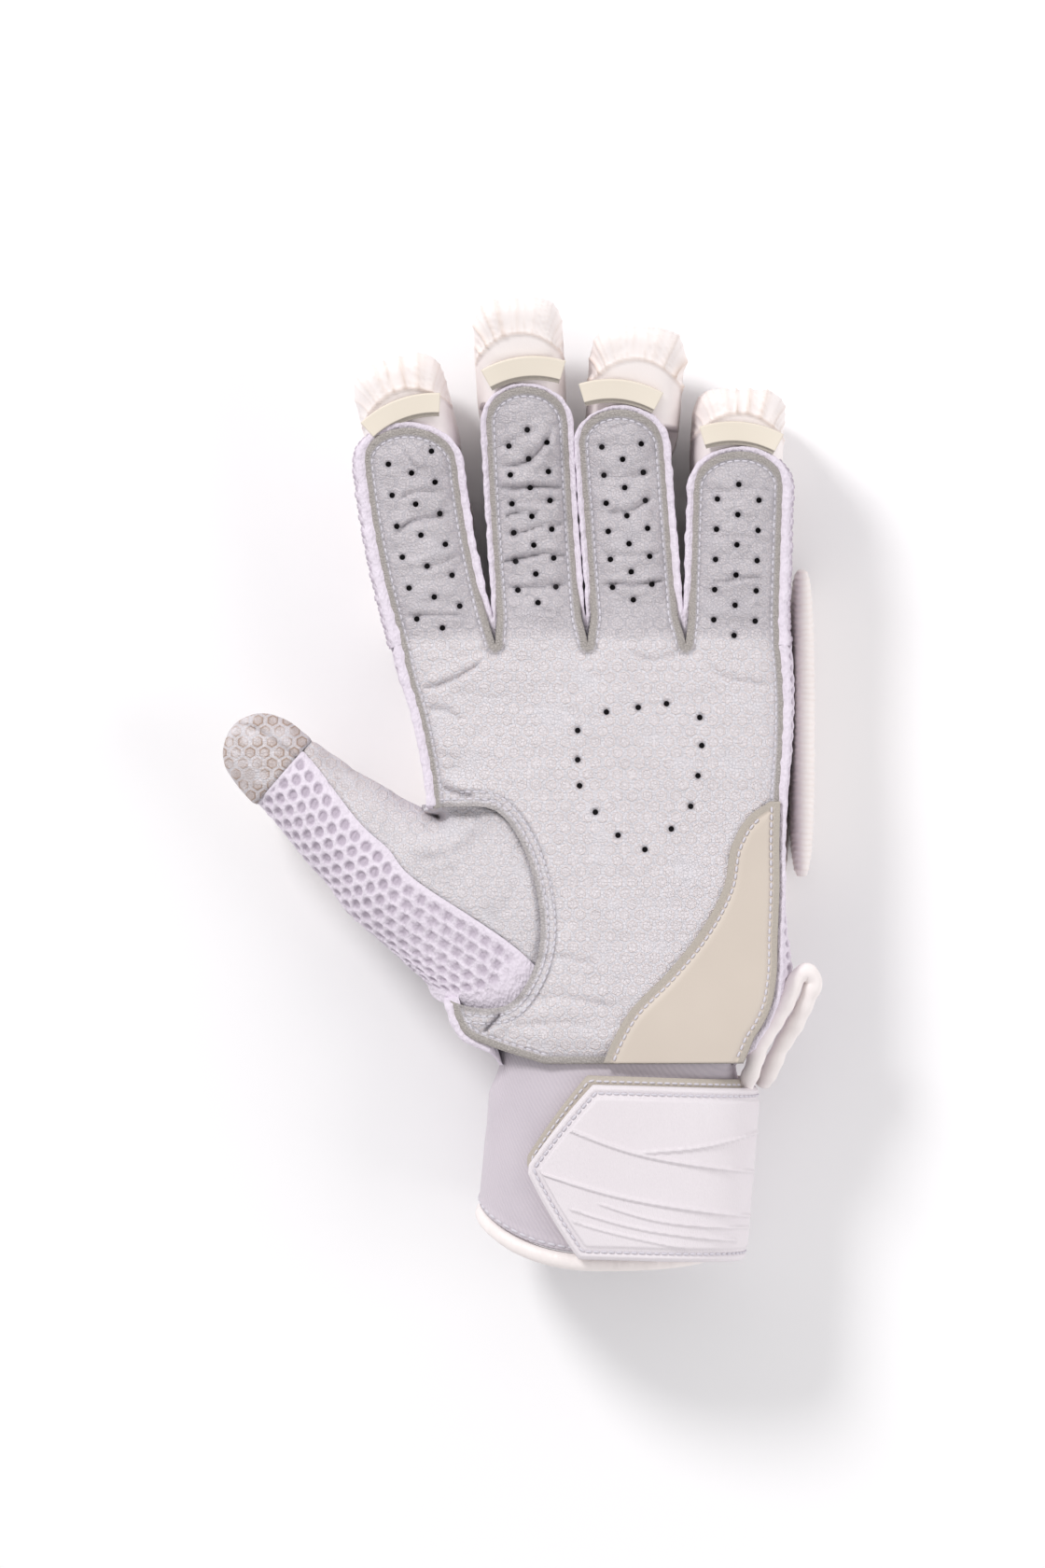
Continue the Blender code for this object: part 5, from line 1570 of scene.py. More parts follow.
def make_roll(name, centre, size, turn=0.0, squareness=ROLL_SQUARENESS, rows=44, around=64):
    """One stuffed roll in the place of its CAD node."""
    points = pillow_points(centre, size, turn, squareness, rows, around)
    creases = roll_creases(points, len(name) * 0.7 + centre[0] * 90, ROLL_CREASE)
    points = rested(raised(points, creases, wrap=True))
    made = turned(f"{name}_skin", points)
    return dress(made, "white_leather", [name])

# %% [markdown]
# Two rolls lie behind each finger, four along the hand and one across the wrist. They are one
# shape in many sizes, so one function makes them all.

# %% Rolls of the fingers and the hand


def roll_end(name):
    """Where a finger's second roll ends and its padded cap begins."""
    return FINGERS[name]["length"] - CAP_GRIP - TIP_ROUND


def make_finger_rolls():
    """Two rolls along the back of each finger, parted where the finger bends."""
    for name, row in FINGERS.items():
        end = roll_end(name)
        split = min(ROLL_SPLIT, end * ROLL_SPLIT_SHARE)
        spans = ((ROLL_GROOVE, split), (split + ROLL_GROOVE, end))
        for number, (low, high) in enumerate(spans, 1):
            middle = (low + high) / 2
            slope = (finger_middle(name, high) - finger_middle(name, low)) / (high - low)
            width = min(row["front"], row["root"]) - SEAM_GAP
            x = finger_middle(name, middle) + CAPS[name]["roll_shift"] * (number - 1)
            size = (width, (high - low) / np.cos(np.arctan(slope)) - ROLL_GROOVE, ROLL_THICKNESS)
            turn = -np.degrees(np.arctan(slope))
            made = make_roll(f"{name}_roll_{number}", (x, middle, ROLL_THICKNESS / 2), size, turn)


def make_hand_rolls():
    """Four rolls along the hand, and one across the wrist."""
    left = palm_edge(-PALM_LENGTH * HAND_ROLL_LEFT_AT, "left")
    right = palm_edge(-PALM_LENGTH * HAND_ROLL_RIGHT_AT, "right") + OUTER_BULGE
    width = (right - left) / HAND_ROLL_COUNT
    for number in range(HAND_ROLL_COUNT):
        size = (width - ROLL_GROOVE / 2, HAND_ROLL_LENGTH - ROLL_GROOVE, ROLL_THICKNESS)
        place = (left + width * (number + 0.5), -HAND_ROLL_LENGTH / 2 - ROLL_GROOVE, ROLL_THICKNESS / 2)
        make_roll(f"hand_roll_{number + 1}", place, size, rows=80)
    start, end = [palm_edge(-PALM_LENGTH * WRIST_ROLL_AT, side) for side in ("left", "right")]
    middle = -HAND_ROLL_LENGTH - ROLL_GROOVE - WRIST_ROLL_LENGTH / 2
    size = (end - start, WRIST_ROLL_LENGTH - ROLL_GROOVE, ROLL_THICKNESS)
    place = ((start + end) / 2, middle, ROLL_THICKNESS / 2)
    make_roll("wrist_roll", place, size, 0.0, CAP_SQUARENESS, 40, 90)
    return right

# %% [markdown]
# The slim roll up the outer side is pulled into fine cross ribs by its stitching. The ribs are a
# sine wave, made to wander a little so that no two are alike.

# %% Side roll


def make_side_roll(right):
    """The slim roll up the outer side, pulled into fine cross ribs by its stitching."""
    x = right + SEAM_GAP - SIDE_ROLL_NEST + SIDE_ROLL_WIDTH / 2
    place = (x, SIDE_ROLL_START - SIDE_ROLL_LENGTH / 2, SIDE_ROLL_HEIGHT / 2)
    size = (SIDE_ROLL_WIDTH, SIDE_ROLL_LENGTH, SIDE_ROLL_HEIGHT)
    points = pillow_points(place, size, 0.0, SIDE_ROLL_SQUARENESS, 300, 60)
    y = points[..., 1]
    height = points[..., 2]
    wander = 0.5 * np.sin(height / (4 * MM)) + ripple(height / (5 * MM), y / (6 * MM), 3.3)
    ribs = np.abs(np.sin(np.pi * y / (1.7 * MM) + wander)) ** 0.6
    fine = ripple(y / (0.8 * MM), height / (6 * MM), 0.4)
    amount = (ribs - 0.6) * 0.22 * MM + fine * 0.06 * MM
    points = rested(raised(points, -amount, wrap=True))
    # Painted shade in the narrow lines between the ribs.
    made = turned("side_roll_skin", points, {"valley": 0.25 * (1 - ribs)})
    return dress(made, "white_leather", ["side_roll"])


make_finger_rolls()
outer_side = make_hand_rolls()
side_roll = make_side_roll(outer_side)

# %% [markdown]
# ## Fingertip caps and tabs
# Each fingertip sits in a padded cap, smooth in a band next to the finger and gathered into
# pleats from an arched seam outwards. The pleats fan out from a point below the seam, so they are
# a wave of the angle about it: sharp valleys between rounded puffs, deepest at the seam.

# %% Padded caps
PLEAT_DEPTH = 1.15 * MM
PLEAT_COUNT = 21.0
ARC_SAG = 0.040 / MM
BAND_STEP = 0.70 * MM
BAND_GROOVE = 0.55 * MM
PLEAT_PUFF = 0.70 * MM


def ahead(turn):
    """The unit direction that a fingertip points in, turned from the y axis in degrees."""
    angle = np.radians(90 + turn)
    return np.array((np.cos(angle), np.sin(angle), 0.0))


def tip_point(name):
    """The tip of a finger's leather on the ground plane."""
    length = FINGERS[name]["length"]
    return np.array((finger_middle(name, length), length, 0.0))


def cap_frame(name, points):
    """Places in the cap's own frame: aside from its middle, and ahead of the leather's tip."""
    front = ahead(CAPS[name]["turn"])
    side = np.array((front[1], -front[0], 0.0))
    away = points - tip_point(name)
    return away @ side - CAPS[name]["shift"], away @ front


def pleats(aside, forward, arc, seed):
    """Depth of the pleats (0 on a puff, 1 in a valley) and the step at the band's edge."""
    beyond = forward - (arc - ARC_SAG * aside**2)
    turn = np.arctan2(aside, forward - arc + 22 * MM)
    warped = turn + 0.030 * np.sin(9 * turn + seed) + 0.012 * np.sin(23 * turn + 2 * seed)
    valley = (1 - np.abs(np.sin(PLEAT_COUNT * warped + seed))) ** 2.2
    minor = (1 - np.abs(np.sin(2.3 * PLEAT_COUNT * warped + 2 * seed))) ** 3
    strength = 0.55 + 0.45 * np.sin(5 * turn + seed)
    start = ease(beyond / (0.8 * MM))
    fade = np.exp(-np.maximum(beyond, 0) / (11 * MM))
    depth = (valley * strength + 0.35 * minor) * start * (0.30 + 0.70 * fade)
    return depth, start, beyond


def make_cap(name, seed):
    """The padded cap: a squared-up ellipsoid with a seat for the fingertip pressed into it."""
    row, cap = FINGERS[name], CAPS[name]
    low = roll_end(name) + ROLL_GROOVE
    length = row["length"] + cap["reach"] - low
    centre = tip_point(name) + ahead(cap["turn"]) * (cap["reach"] - length / 2)
    centre[0] += cap["shift"]
    height = RIM_Z + CAP_SHOULDER
    centre[2] = height / 2
    size = (row["root"] - SEAM_GAP, length, height)
    points = pillow_points(centre, size, cap["turn"], CAP_SQUARENESS, 110, 170)
    aside, forward = cap_frame(name, points)
    depth, start, beyond = pleats(aside, forward, cap["arc"], seed)
    upper = ease((points[..., 2] - 14 * MM) / (14 * MM))
    groove = bell(beyond - 0.3 * MM, 0.40 * MM)
    amount = -PLEAT_DEPTH * depth * upper + BAND_STEP * (1 - start) * upper
    amount = amount - BAND_GROOVE * groove * upper
    amount = amount + PLEAT_PUFF * start * upper * bell(beyond - 3.0 * MM, 3.5 * MM)
    x, y, z = points[..., 0], points[..., 1], points[..., 2]
    amount = amount + 0.15 * MM * ripple(x / (5 * MM), y / (5 * MM) + z / (6 * MM), seed)
    points = rested(raised(points, -amount, wrap=True))
    line = finger_outline(name, 120)
    inside = inside_shape(points[..., 0], points[..., 1], line)
    gap, _ = edge_distance(points[..., 0], points[..., 1], line)
    seat = inside & (gap > 0.6 * MM) & (points[..., 2] > BACK_Z - 1 * MM)
    ledge = (points[..., 1] < row["length"] - CAP_GRIP) & (points[..., 2] > BACK_Z - 1 * MM)
    floor = BACK_Z - SEAM_GAP - 0.4 * MM + lift(np.minimum(points[..., 1], row["length"] - CAP_GRIP))
    points[..., 2] = np.where(seat | ledge, np.minimum(points[..., 2], floor), points[..., 2])
    # Painted shade in the pleat valleys and the groove at the band's edge.
    valley = np.clip(depth * upper * 0.8 + groove * 0.5 * upper, 0, 1)
    made = turned(f"{name}_cap_skin", points, {"valley": valley})
    return dress(made, "white_leather", [f"{name}_cap"])

# %% [markdown]
# A thin curved tab of hide is sewn across each cap. It is a piece of a flat ring, and a Solidify
# modifier gives it its thickness.

# %% Tabs


def tab_points(name, set_back, width, drop, spread_more=0.0):
    """A curved strip round the fingertip, across the cap."""
    front = ahead(CAPS[name]["tab_turn"])
    side = np.array((front[1], -front[0], 0.0))
    start = tip_point(name) + front * (set_back - TAB_RADIUS)
    spread = np.arcsin(TAB_SPAN / 2 / TAB_RADIUS) + spread_more
    angle = np.linspace(-spread, spread, 60)[None, :, None]
    reach = TAB_RADIUS + np.linspace(0, width, 16)[:, None, None]
    points = start + (front * np.cos(angle) + side * np.sin(angle)) * reach
    z = RIM_Z + lift(points[..., 1]) + CAP_SHOULDER + SEAM_GAP - drop
    curl = 0.35 * MM * (np.linspace(-1, 1, 60)[None] ** 2) * np.linspace(1, 0.2, 16)[:, None]
    points[..., 2] = z + curl
    return points


BACKING_THICKNESS = 1.1 * MM


def make_tab(name):
    """The thin hide tab and the raw edge of the layer under it."""
    points = tab_points(name, TAB_SET_BACK, TAB_WIDTH, -TAB_THICKNESS)
    share = np.linspace(0, 1, 16)[:, None] + 0 * points[..., 0]
    raw = ease((0.04 - share) / 0.04)
    made = surface(f"{name}_tab_skin", points, values={"raw": raw})
    solid_wall(made, TAB_THICKNESS)
    dress(made, "tab_hide", [f"{name}_tab"])
    under = tab_points(name, TAB_SET_BACK - 1.0 * MM, 3.0 * MM, -0.4 * MM, -0.02)
    backing = surface(f"{name}_tab_backing", under, values={"raw": np.ones(under.shape[:2])})
    solid_wall(backing, BACKING_THICKNESS)
    dress(backing, "cream_hide")


for number, finger in enumerate(FINGERS):
    make_cap(finger, 1.3 + 1.9 * number)
    make_tab(finger)

# %% [markdown]
# ## Thumb
# The thumb is a tube sewn to the palm along its base. Its rings turn from the base's seam into
# ellipses round the thumb's axis. A loft between two outlines would do this too, but a blend of
# two formulas gives every point a name: how far along it is, and how far round.

# %% Shape of the thumb


THUMB_LEVEL = THUMB_PAD_THICKNESS + SEAM_GAP + THUMB_DEPTH / 2 + THUMB_DROOP + THUMB_RAISE


def thumb_root(height):
    """Where the thumb's axis starts, at a given height."""
    return np.array((THUMB_ROOT_ACROSS * ROOT_WIDTH, -THUMB_ROOT_DOWN * PALM_LENGTH, height))


def thumb_point(angle, share):
    """A point of the thumb's ellipses, at a share of its length."""
    knots = column(THUMB_ROWS, "along")
    wide = np.interp(share, knots, column(THUMB_ROWS, "wide")) * THUMB_WIDTH / 2
    deep = np.interp(share, knots, column(THUMB_ROWS, "deep")) * THUMB_DEPTH / 2
    turn = np.radians(angle)
    centre = thumb_root(THUMB_LEVEL) + THUMB_AXIS * (THUMB_LENGTH * share)[..., None]
    points = centre + THUMB_ACROSS * (wide * np.cos(turn))[..., None]
    points[..., 2] += deep * np.sin(turn) - THUMB_DROOP * share
    return points


def thumb_tip_point(angle, share):
    """The rounded end of the thumb: the ellipses close along a quarter circle."""
    knots = column(THUMB_ROWS, "along")
    start = np.interp(THUMB_TIP_SHARE, knots, column(THUMB_ROWS, "wide"))
    past = (share - THUMB_TIP_SHARE) / (1 - THUMB_TIP_SHARE)
    size = start * np.sqrt(np.maximum(0.0, 1 - past**2.6))
    turn = np.radians(angle)
    centre = thumb_root(THUMB_LEVEL) + THUMB_AXIS * (THUMB_LENGTH * share)[..., None]
    points = centre + THUMB_ACROSS * (size * THUMB_WIDTH / 2 * np.cos(turn))[..., None]
    points[..., 2] += size * 1.24 * THUMB_DEPTH / 2 * np.sin(turn) - THUMB_DROOP * share
    return points


def thumb_side(step, angle):
    """The thumb's side: step 0 is its seam, 2 the first ellipse and THUMB_STEPS the tip's seam."""
    share = np.maximum(0.0, (step - 2) / (THUMB_STEPS - 2)) * THUMB_TIP_SHARE
    blend = ease(step / 2)[..., None]
    base = thumb_base_point(angle)
    tucked = thumb_base_point(angle, 2.0 * MM) - np.array((0.0, 0.0, 1.8 * MM))
    base = base + (tucked - base) * np.clip(-step / 0.3, 0, 1)[..., None]
    return base * (1 - blend) + thumb_point(angle, share) * blend


def thumb_grid(name, rows, columns):
    """Steps and angles of the thumb's leather or mesh."""
    step = np.concatenate([np.linspace(-0.3, 0, 4, endpoint=False), np.linspace(0, THUMB_STEPS, rows)])
    seam = through(column(THUMB_SEAM, "step"), column(THUMB_SEAM, "angle"), step / THUMB_STEPS)
    low, high = np.full(len(step), THUMB_SEAM_UNDER), seam
    if name == "thumb_mesh":
        low, high = seam, np.full(len(step), THUMB_SEAM_UNDER + 360)
    share = np.linspace(0, 1, columns)
    return step[:, None] + 0 * share, low[:, None] + (high - low)[:, None] * share


def softened(points, spread):
    """The grid smoothed along its rows by a bell; its two end rows stay in place."""
    reach = 3 * spread
    weights = bell(np.arange(-reach, reach + 1.0), spread)
    weights /= weights.sum()
    before = 2 * points[:1] - points[reach:0:-1]
    after = 2 * points[-1:] - points[-2 : -reach - 2 : -1]
    longer = np.concatenate([before, points, after])
    return sum(weight * longer[i : i + len(points)] for i, weight in enumerate(weights))


def thumb_walks(points):
    """How far each point lies from the thumb's end and round from the seam, in metres."""
    along = np.cumsum(np.linalg.norm(np.diff(points, axis=0), axis=2)[::-1], axis=0)[::-1]
    along = np.concatenate([along, np.zeros((1, points.shape[1]))])
    around = np.linalg.norm(np.diff(points, axis=1), axis=2)
    around = np.concatenate([np.zeros((len(points), 1)), np.cumsum(around, axis=1)], axis=1)
    return along, around

# %% [markdown]
# The inner side is leather and the outer side mesh with large holes. Both are parts of the same
# tube, parted along a seam that swings round it.

# %% Leather and mesh of the thumb


def make_thumb_leather():
    """Leather wrinkled across the thumb, pulled down along its seams and webbed near the palm."""
    step, angle = thumb_grid("thumb_leather", 150, 100)
    points = softened(thumb_side(step, angle), 10)
    x, y = points[..., 0], points[..., 1]
    along, around = thumb_walks(points)
    to_seam = around[:, -1:] - around
    wrinkle = ripple(along / (5.5 * MM), around / (9 * MM), 0.9)
    wrinkle = wrinkle + 0.5 * ripple(along / (2.6 * MM), around / (6 * MM), 3.1)
    fine = ripple(x / (1.9 * MM), y / (1.9 * MM), 2.7)
    web = bell(step - 1.3, 1.6) * ripple(around / (2.1 * MM), step * 0.9, 5.3)
    amount = 0.42 * MM * wrinkle * ease(step / 1.5) + 0.16 * MM * fine + 0.45 * MM * web
    fade = ease(to_seam / (4 * MM)) * ease(around / (4 * MM))
    amount = amount * fade - 0.6 * MM * bell(to_seam, 0.7 * MM) - 0.7 * MM * bell(around, 0.8 * MM)
    amount = amount + 0.35 * MM * bell(step - 0.15, 0.12) - 0.4 * MM * bell(step - THUMB_STEPS, 0.10)
    points = raised(points, -amount)
    # Painted shade along the seam, under the tucked base and in the wrinkles.
    valley = 0.45 * bell(to_seam, 0.4 * MM) + 0.5 * ease((0.04 - step) / 0.06)
    valley = valley + 0.35 * np.clip(-amount / (0.7 * MM), 0, 1) * fade
    values = {"printed_and_lit": 0.8 + 0 * step, "worn": 0.30 * ease((step - 3) / 5), "valley": valley}
    made = turned("thumb_leather_skin", points, values, wrap=False)
    return dress(made, "palm_leather", ["thumb_leather"])


def make_thumb_mesh():
    """Large round holes in staggered rows, pressed in between soft bars."""
    step, angle = thumb_grid("thumb_mesh", 180, 200)
    points = softened(thumb_side(step, angle), 12)
    along, around = thumb_walks(points)
    near = np.minimum(around, around[:, -1:] - around)
    limit = ease((near - 1.2 * MM) / (1.0 * MM)) * ease((step - 0.25) / 0.2)
    limit = limit * ease((THUMB_STEPS - step - 0.05) / 0.2)
    hole = mesh_holes(along, around, THUMB_HOLES) * limit
    bars = ripple(points[..., 0] / (1.0 * MM), points[..., 1] / (1.0 * MM), 1.1) * 0.14 * MM
    folds = ripple(along / (9 * MM), around / (11 * MM), 1.7) * 0.35 * MM * ease(step)
    amount = folds + bars - THUMB_HOLES["depth"] * MM * hole - 0.3 * MM * bell(near, 0.6 * MM)
    points = raised(points, -amount)
    # The holes carry painted shade, a little lighter here.
    made = turned("thumb_mesh_skin", points, {"hole": hole * 0.62}, wrap=False)
    return dress(made, "mesh_fabric", ["thumb_mesh"])

# %% [markdown]
# A leather cap closes the thumb, soiled by use, and two stuffed pads guard its back.

# %% Tip and pads of the thumb


def make_thumb_tip():
    """The soiled leather cap, puffed out from its seam, with one more seam along its side."""
    share = THUMB_TIP_SHARE + (1 - THUMB_TIP_SHARE) * np.sin(np.linspace(0, np.pi / 2, 60))
    angle = np.linspace(0, 360, 120, endpoint=False) + np.zeros((60, 1))
    share = share[:, None] + np.zeros(120)
    points = thumb_tip_point(angle, share)
    fine = ripple(points[..., 0] / (2.4 * MM), points[..., 1] / (2.4 * MM), 3.9)
    folds = ripple(points[..., 0] / (5 * MM), points[..., 1] / (5 * MM), 1.2)
    start = bell(share - THUMB_TIP_SHARE, 0.012)
    seam = bell(np.radians(angle - 62) * 11 * MM, 0.5 * MM)
    amount = 0.12 * MM * fine + 0.30 * MM * folds + 0.45 * MM * (1 - start) - 0.5 * MM * seam
    close = ease((0.995 - share) / 0.05)
    points = raised(points, -amount * close, wrap=True)
    values = {"printed_and_lit": np.full(share.shape, 0.9), "worn": np.full(share.shape, 0.85)}
    # Painted shade where the tip meets the thumb and along its seam.
    values["valley"] = 0.5 * start + 0.4 * seam
    made = turned("thumb_tip_skin", points, values)
    return dress(made, "palm_leather", ["thumb_tip"])


PAD_CREASE = 0.3 * MM


def make_thumb_pads():
    """Two stuffed pads along the thumb's back, shaped as the rolls are."""
    for number, row in enumerate(THUMB_PADS, 1):
        height = THUMB_LEVEL - THUMB_PAD_SINK
        place = thumb_root(0.0) + THUMB_AXIS * THUMB_LENGTH * row["along"]
        place[2] = height / 2 + THUMB_PAD_LIFT
        size = (THUMB_WIDTH * row["wide"], THUMB_LENGTH * row["length"] - ROLL_GROOVE, height)
        points = pillow_points(place, size, np.degrees(THUMB_TURN) - 90, ROLL_SQUARENESS, 46, 70)
        points = raised(points, roll_creases(points, 2.0 + number, PAD_CREASE), wrap=True)
        made = turned(f"thumb_pad_{number}_skin", points)
        dress(made, "white_leather", [f"thumb_pad_{number}"])


make_thumb_leather()
make_thumb_mesh()
make_thumb_tip()
make_thumb_pads()

# %% [markdown]
# ## Cuff, binding and strap
# A knitted cuff is sewn into the hand's heel and flares to a flattened ring. Its hem is bound in
# white leather, an oval carried round it. The knit itself is left to the finish.

# %% Cuff and binding


def hem(angle, extra=0.0):
    """The y of the hem: slanted from the palm to the back, and lifted on the thumb's side."""
    turn = np.radians(angle)
    thumb_side = np.maximum(0.0, -np.cos(turn)) ** 2
    slant = CUFF_SLANT * (1 - np.sin(turn)) / 2
    return -PALM_LENGTH - CUFF_LENGTH - extra + slant + HEM_LIFT * thumb_side


def even_angles(count):
    """Angles whose points are evenly spaced round the cuff."""
    angle = np.linspace(0, 360, CURVE_STEPS)
    line = cuff_point(angle, np.full(CURVE_STEPS, -PALM_LENGTH - CUFF_LENGTH / 2))
    walked = lengths(line)
    return np.interp(np.linspace(0, walked[-1], count, endpoint=False), walked, angle)


def make_cuff():
    """Down the outside to the hem and back up the inside, with soft folds."""
    angle = even_angles(230)[None]
    down = np.linspace(0, 1, 100)[:, None]
    top = -PALM_LENGTH + CUFF_TUCK
    y = top + (hem(angle) - top) * down
    outside = cuff_point(angle + 0 * down, y)
    folds = ripple(angle / 14 + 2 * np.cos(np.radians(angle)), down * 5, 1.4)
    folds = folds * np.sin(np.pi * np.clip(down, 0, 1)) * 0.45 * MM
    stitched = -0.4 * MM * bell((down - 0.965) * CUFF_LENGTH, 0.7 * MM)
    outside = raised(outside, -(folds + stitched), wrap=True)
    inside = cuff_point(angle + 0 * down[::5], y[::5], -CUFF_WALL)[::-1]
    points = np.concatenate([outside, inside, outside[:1]])
    made = turned("cuff_skin", points)
    return dress(made, "knit", ["cuff"])


def make_binding():
    """The rounded binding of the hem: an oval carried round the cuff, puckered by its stitches."""
    angle = even_angles(420)[:, None]
    turn = np.linspace(0, 2 * np.pi, 20, endpoint=False)[None]
    y = hem(angle, SEAM_GAP + BINDING_WIDTH * (1 - np.cos(turn)) / 2)
    pucker = 1 + 0.09 * ripple(angle / 1.1, turn, 2.2)
    grow = (np.sin(turn) * BINDING_THICKNESS * pucker - CUFF_WALL) / 2
    points = cuff_point(angle + 0 * turn, y, grow)
    made = surface("cuff_binding_skin", np.concatenate([points, points[:1]])[::-1], wrap=True)
    return dress(made, "white_leather", ["cuff_binding"])

# %% [markdown]
# The moulded strap wraps from the palm side round the outer edge, over a hide tape. It is flat
# before it is bent, so distances from its edge are measured on the unrolled strap and then
# carried on to the cuff.

# %% Shape of the strap


def band_half(angle, lead):
    """Half the strap's width: a point at its start, then even."""
    share = np.clip((STRAP_START + lead - angle) / (STRAP_START - STRAP_CORNER), 0, 1)
    return STRAP_WIDTH / 2 * (STRAP_POINT + (1 - STRAP_POINT) * share)


def band_place(angle, height, grow, shift):
    """A point of the strap: an angle round the cuff and a height over its middle line."""
    middle = -PALM_LENGTH - STRAP_DROP - STRAP_WIDTH / 2 + shift
    return cuff_point(angle, middle - STRAP_TILT * np.cos(np.radians(angle)) + height, grow, 1.0)


def band_outline(grow, lead, shift):
    """The unrolled outline of a strap and, for its angles, how far along the strap they lie."""
    angle = np.linspace(STRAP_START + lead, STRAP_END, 240)
    along = lengths(band_place(angle, 0 * angle, grow, shift))
    half = band_half(angle, lead)
    upper, lower = np.stack([along, half], axis=1), np.stack([along, -half], axis=1)[::-1]
    return np.concatenate([upper, lower, upper[:1]]), angle, along


def band_points(grow, lead, shift, columns, rows):
    """A grid over the strap and how far each point lies from the strap's edge."""
    outline, angles, along = band_outline(grow, lead, shift)
    angle = np.linspace(STRAP_START + lead, STRAP_END, columns)[:, None]
    height = band_half(angle, lead) * np.linspace(1, -1, rows)[None]
    edge, _ = edge_distance(np.interp(-angle, -angles, along) + 0 * height, height, outline)
    return band_place(angle + 0 * height, height, grow, shift), edge


def band_seam(grow, lead, shift, inset):
    """The path of a seam that runs at an even distance inside the strap's edge."""
    outline, angles, along = band_outline(grow, lead, shift)
    angle = np.linspace(STRAP_START + lead, STRAP_END + 6, 420)
    height = band_half(angle, lead)[:, None] * np.linspace(0, 1, 160)[None]
    edge, _ = edge_distance(np.interp(-angle, -angles, along)[:, None] + 0 * height, height, outline)
    reached = np.where(edge >= inset, height, 0).max(axis=1)
    kept = (edge >= inset).any(axis=1)
    angle, reached = angle[kept], reached[kept]
    both = np.concatenate([angle[::-1], angle]), np.concatenate([reached[::-1], -reached])
    return band_place(*both, grow, shift)


# Columns: the raised lines of the strap, from their left to their right end, in millimetres.
STRAP_LINES = table(
    "x0 y0 x1 y1 x2 y2 height width",
    (-9.0, -133.5, 14.0, -141.5, 47.0, -147.5, 0.75, 0.62),
    (12.0, -141.0, 30.0, -139.5, 47.0, -136.0, 0.65, 0.56),
    (-14.5, -146.5, 10.0, -153.5, 47.0, -160.0, 0.75, 0.62),
    (2.0, -155.0, 20.0, -160.0, 46.0, -163.0, 0.60, 0.52),
    (-6.0, -156.5, 14.0, -162.0, 40.0, -166.0, 0.60, 0.52),
    (-5.0, -160.0, 8.0, -163.5, 26.0, -167.5, 0.50, 0.50),
)


def strap_relief(points):
    """Raised lines seen from the palm side."""
    x, y = points[..., 0], points[..., 1]
    height = np.zeros_like(x)
    for row in STRAP_LINES:
        line = drawn_line(row, 16)
        gap, where = edge_distance(x, y, line)
        share = where / lengths(line)[-1]
        width = row["width"] * MM * (0.6 + 0.4 * ease(share / 0.2))
        ridge = row["height"] * MM * ease((width - gap) / (0.5 * width)) * ease(share / 0.02)
        height = np.maximum(height, ridge)
    return height * ease((points[..., 2] - 32 * MM) / (6 * MM))


def closed_band(name, outer, inner, values):
    """A band with a wall: its outer face, round its edge and back along its inner face."""
    ring = np.concatenate([outer, inner[:, ::-1]], axis=1)
    ends = [end.mean(axis=1, keepdims=True) + 0 * end for end in (ring[:1], ring[-1:])]
    points = np.concatenate([ends[0], ring, ends[1]])
    doubled = {k: np.concatenate([v, v[:, : inner.shape[1]]], axis=1) for k, v in values.items()}
    doubled = {k: np.concatenate([v[:1], v, v[-1:]]) for k, v in doubled.items()}
    return surface(name, points, wrap=True, values=doubled)



# %% [markdown]
# Strap and tape are closed bands with a wall. Plain raised lines sweep along the strap, where the
# real one is moulded too.

# %% Strap and tape
STRAP_SEAM = 2.2 * MM
TAPE_SEAM = 1.5 * MM
TAPE_GAP = (BINDING_THICKNESS - CUFF_WALL) / 2 + SEAM_GAP
TAPE_FACE = TAPE_GAP + TAPE_THICKNESS
STRAP_GAP = TAPE_FACE + SEAM_GAP
STRAP_FACE = STRAP_GAP + STRAP_THICKNESS


def make_strap():
    """The hide tape, then over it the strap with rounded edge, sewn groove, panel and lines."""
    tape_out, edge = band_points(TAPE_FACE, TAPE_LEAD, TAPE_SHIFT, 200, 24)
    tape_in, _ = band_points(TAPE_GAP, TAPE_LEAD, TAPE_SHIFT, 200, 6)
    tape = closed_band("strap_tape_skin", tape_out, tape_in, {"raw": 0.75 * ease((3 * MM - edge) / MM)})
    dress(tape, "cream_hide", ["strap_tape"])
    face, edge = band_points(STRAP_FACE, 0.0, 0.0, 340, 130)
    back, _ = band_points(STRAP_GAP, 0.0, 0.0, 340, 8)
    rounded = -0.8 * MM * (1 - ease(edge / (1.0 * MM)))
    groove = -0.35 * MM * bell(edge - STRAP_SEAM, 0.5 * MM)
    panel = 0.55 * MM * ease((edge - 3.4 * MM) / (0.5 * MM))
    amount = rounded + groove + panel + strap_relief(face) * ease((edge - 3.6 * MM) / (0.8 * MM))
    inwards = orientation(face[:, ::129], back[:, ::7])
    face = face + grid_normals(face) * (-amount)[..., None] * inwards
    strap = closed_band("strap_skin", face, back, {})
    dress(strap, "strap_rubber", ["strap"])


def orientation(outer, inner):
    """1 or -1, so that grid_normals of outer times it points towards inner."""
    return float(np.sign(((inner - outer) * grid_normals(outer)).sum()))


make_cuff()
make_binding()
make_strap()

# %% [markdown]
# ## Heel patch and piping
# A patch of cream hide is sewn over the outer heel. Its inner edge is raw. It is a sheet laid on
# the palm's own top, so it follows every curve of it.

# %% Heel patch


def patch_edge(y):
    """The x of the patch's inner edge, a smooth curve through its table."""
    knots, values = column(PATCH_EDGES, "down"), column(PATCH_EDGES, "left")
    return ROOT_WIDTH * through(knots, values, -y / PALM_LENGTH)


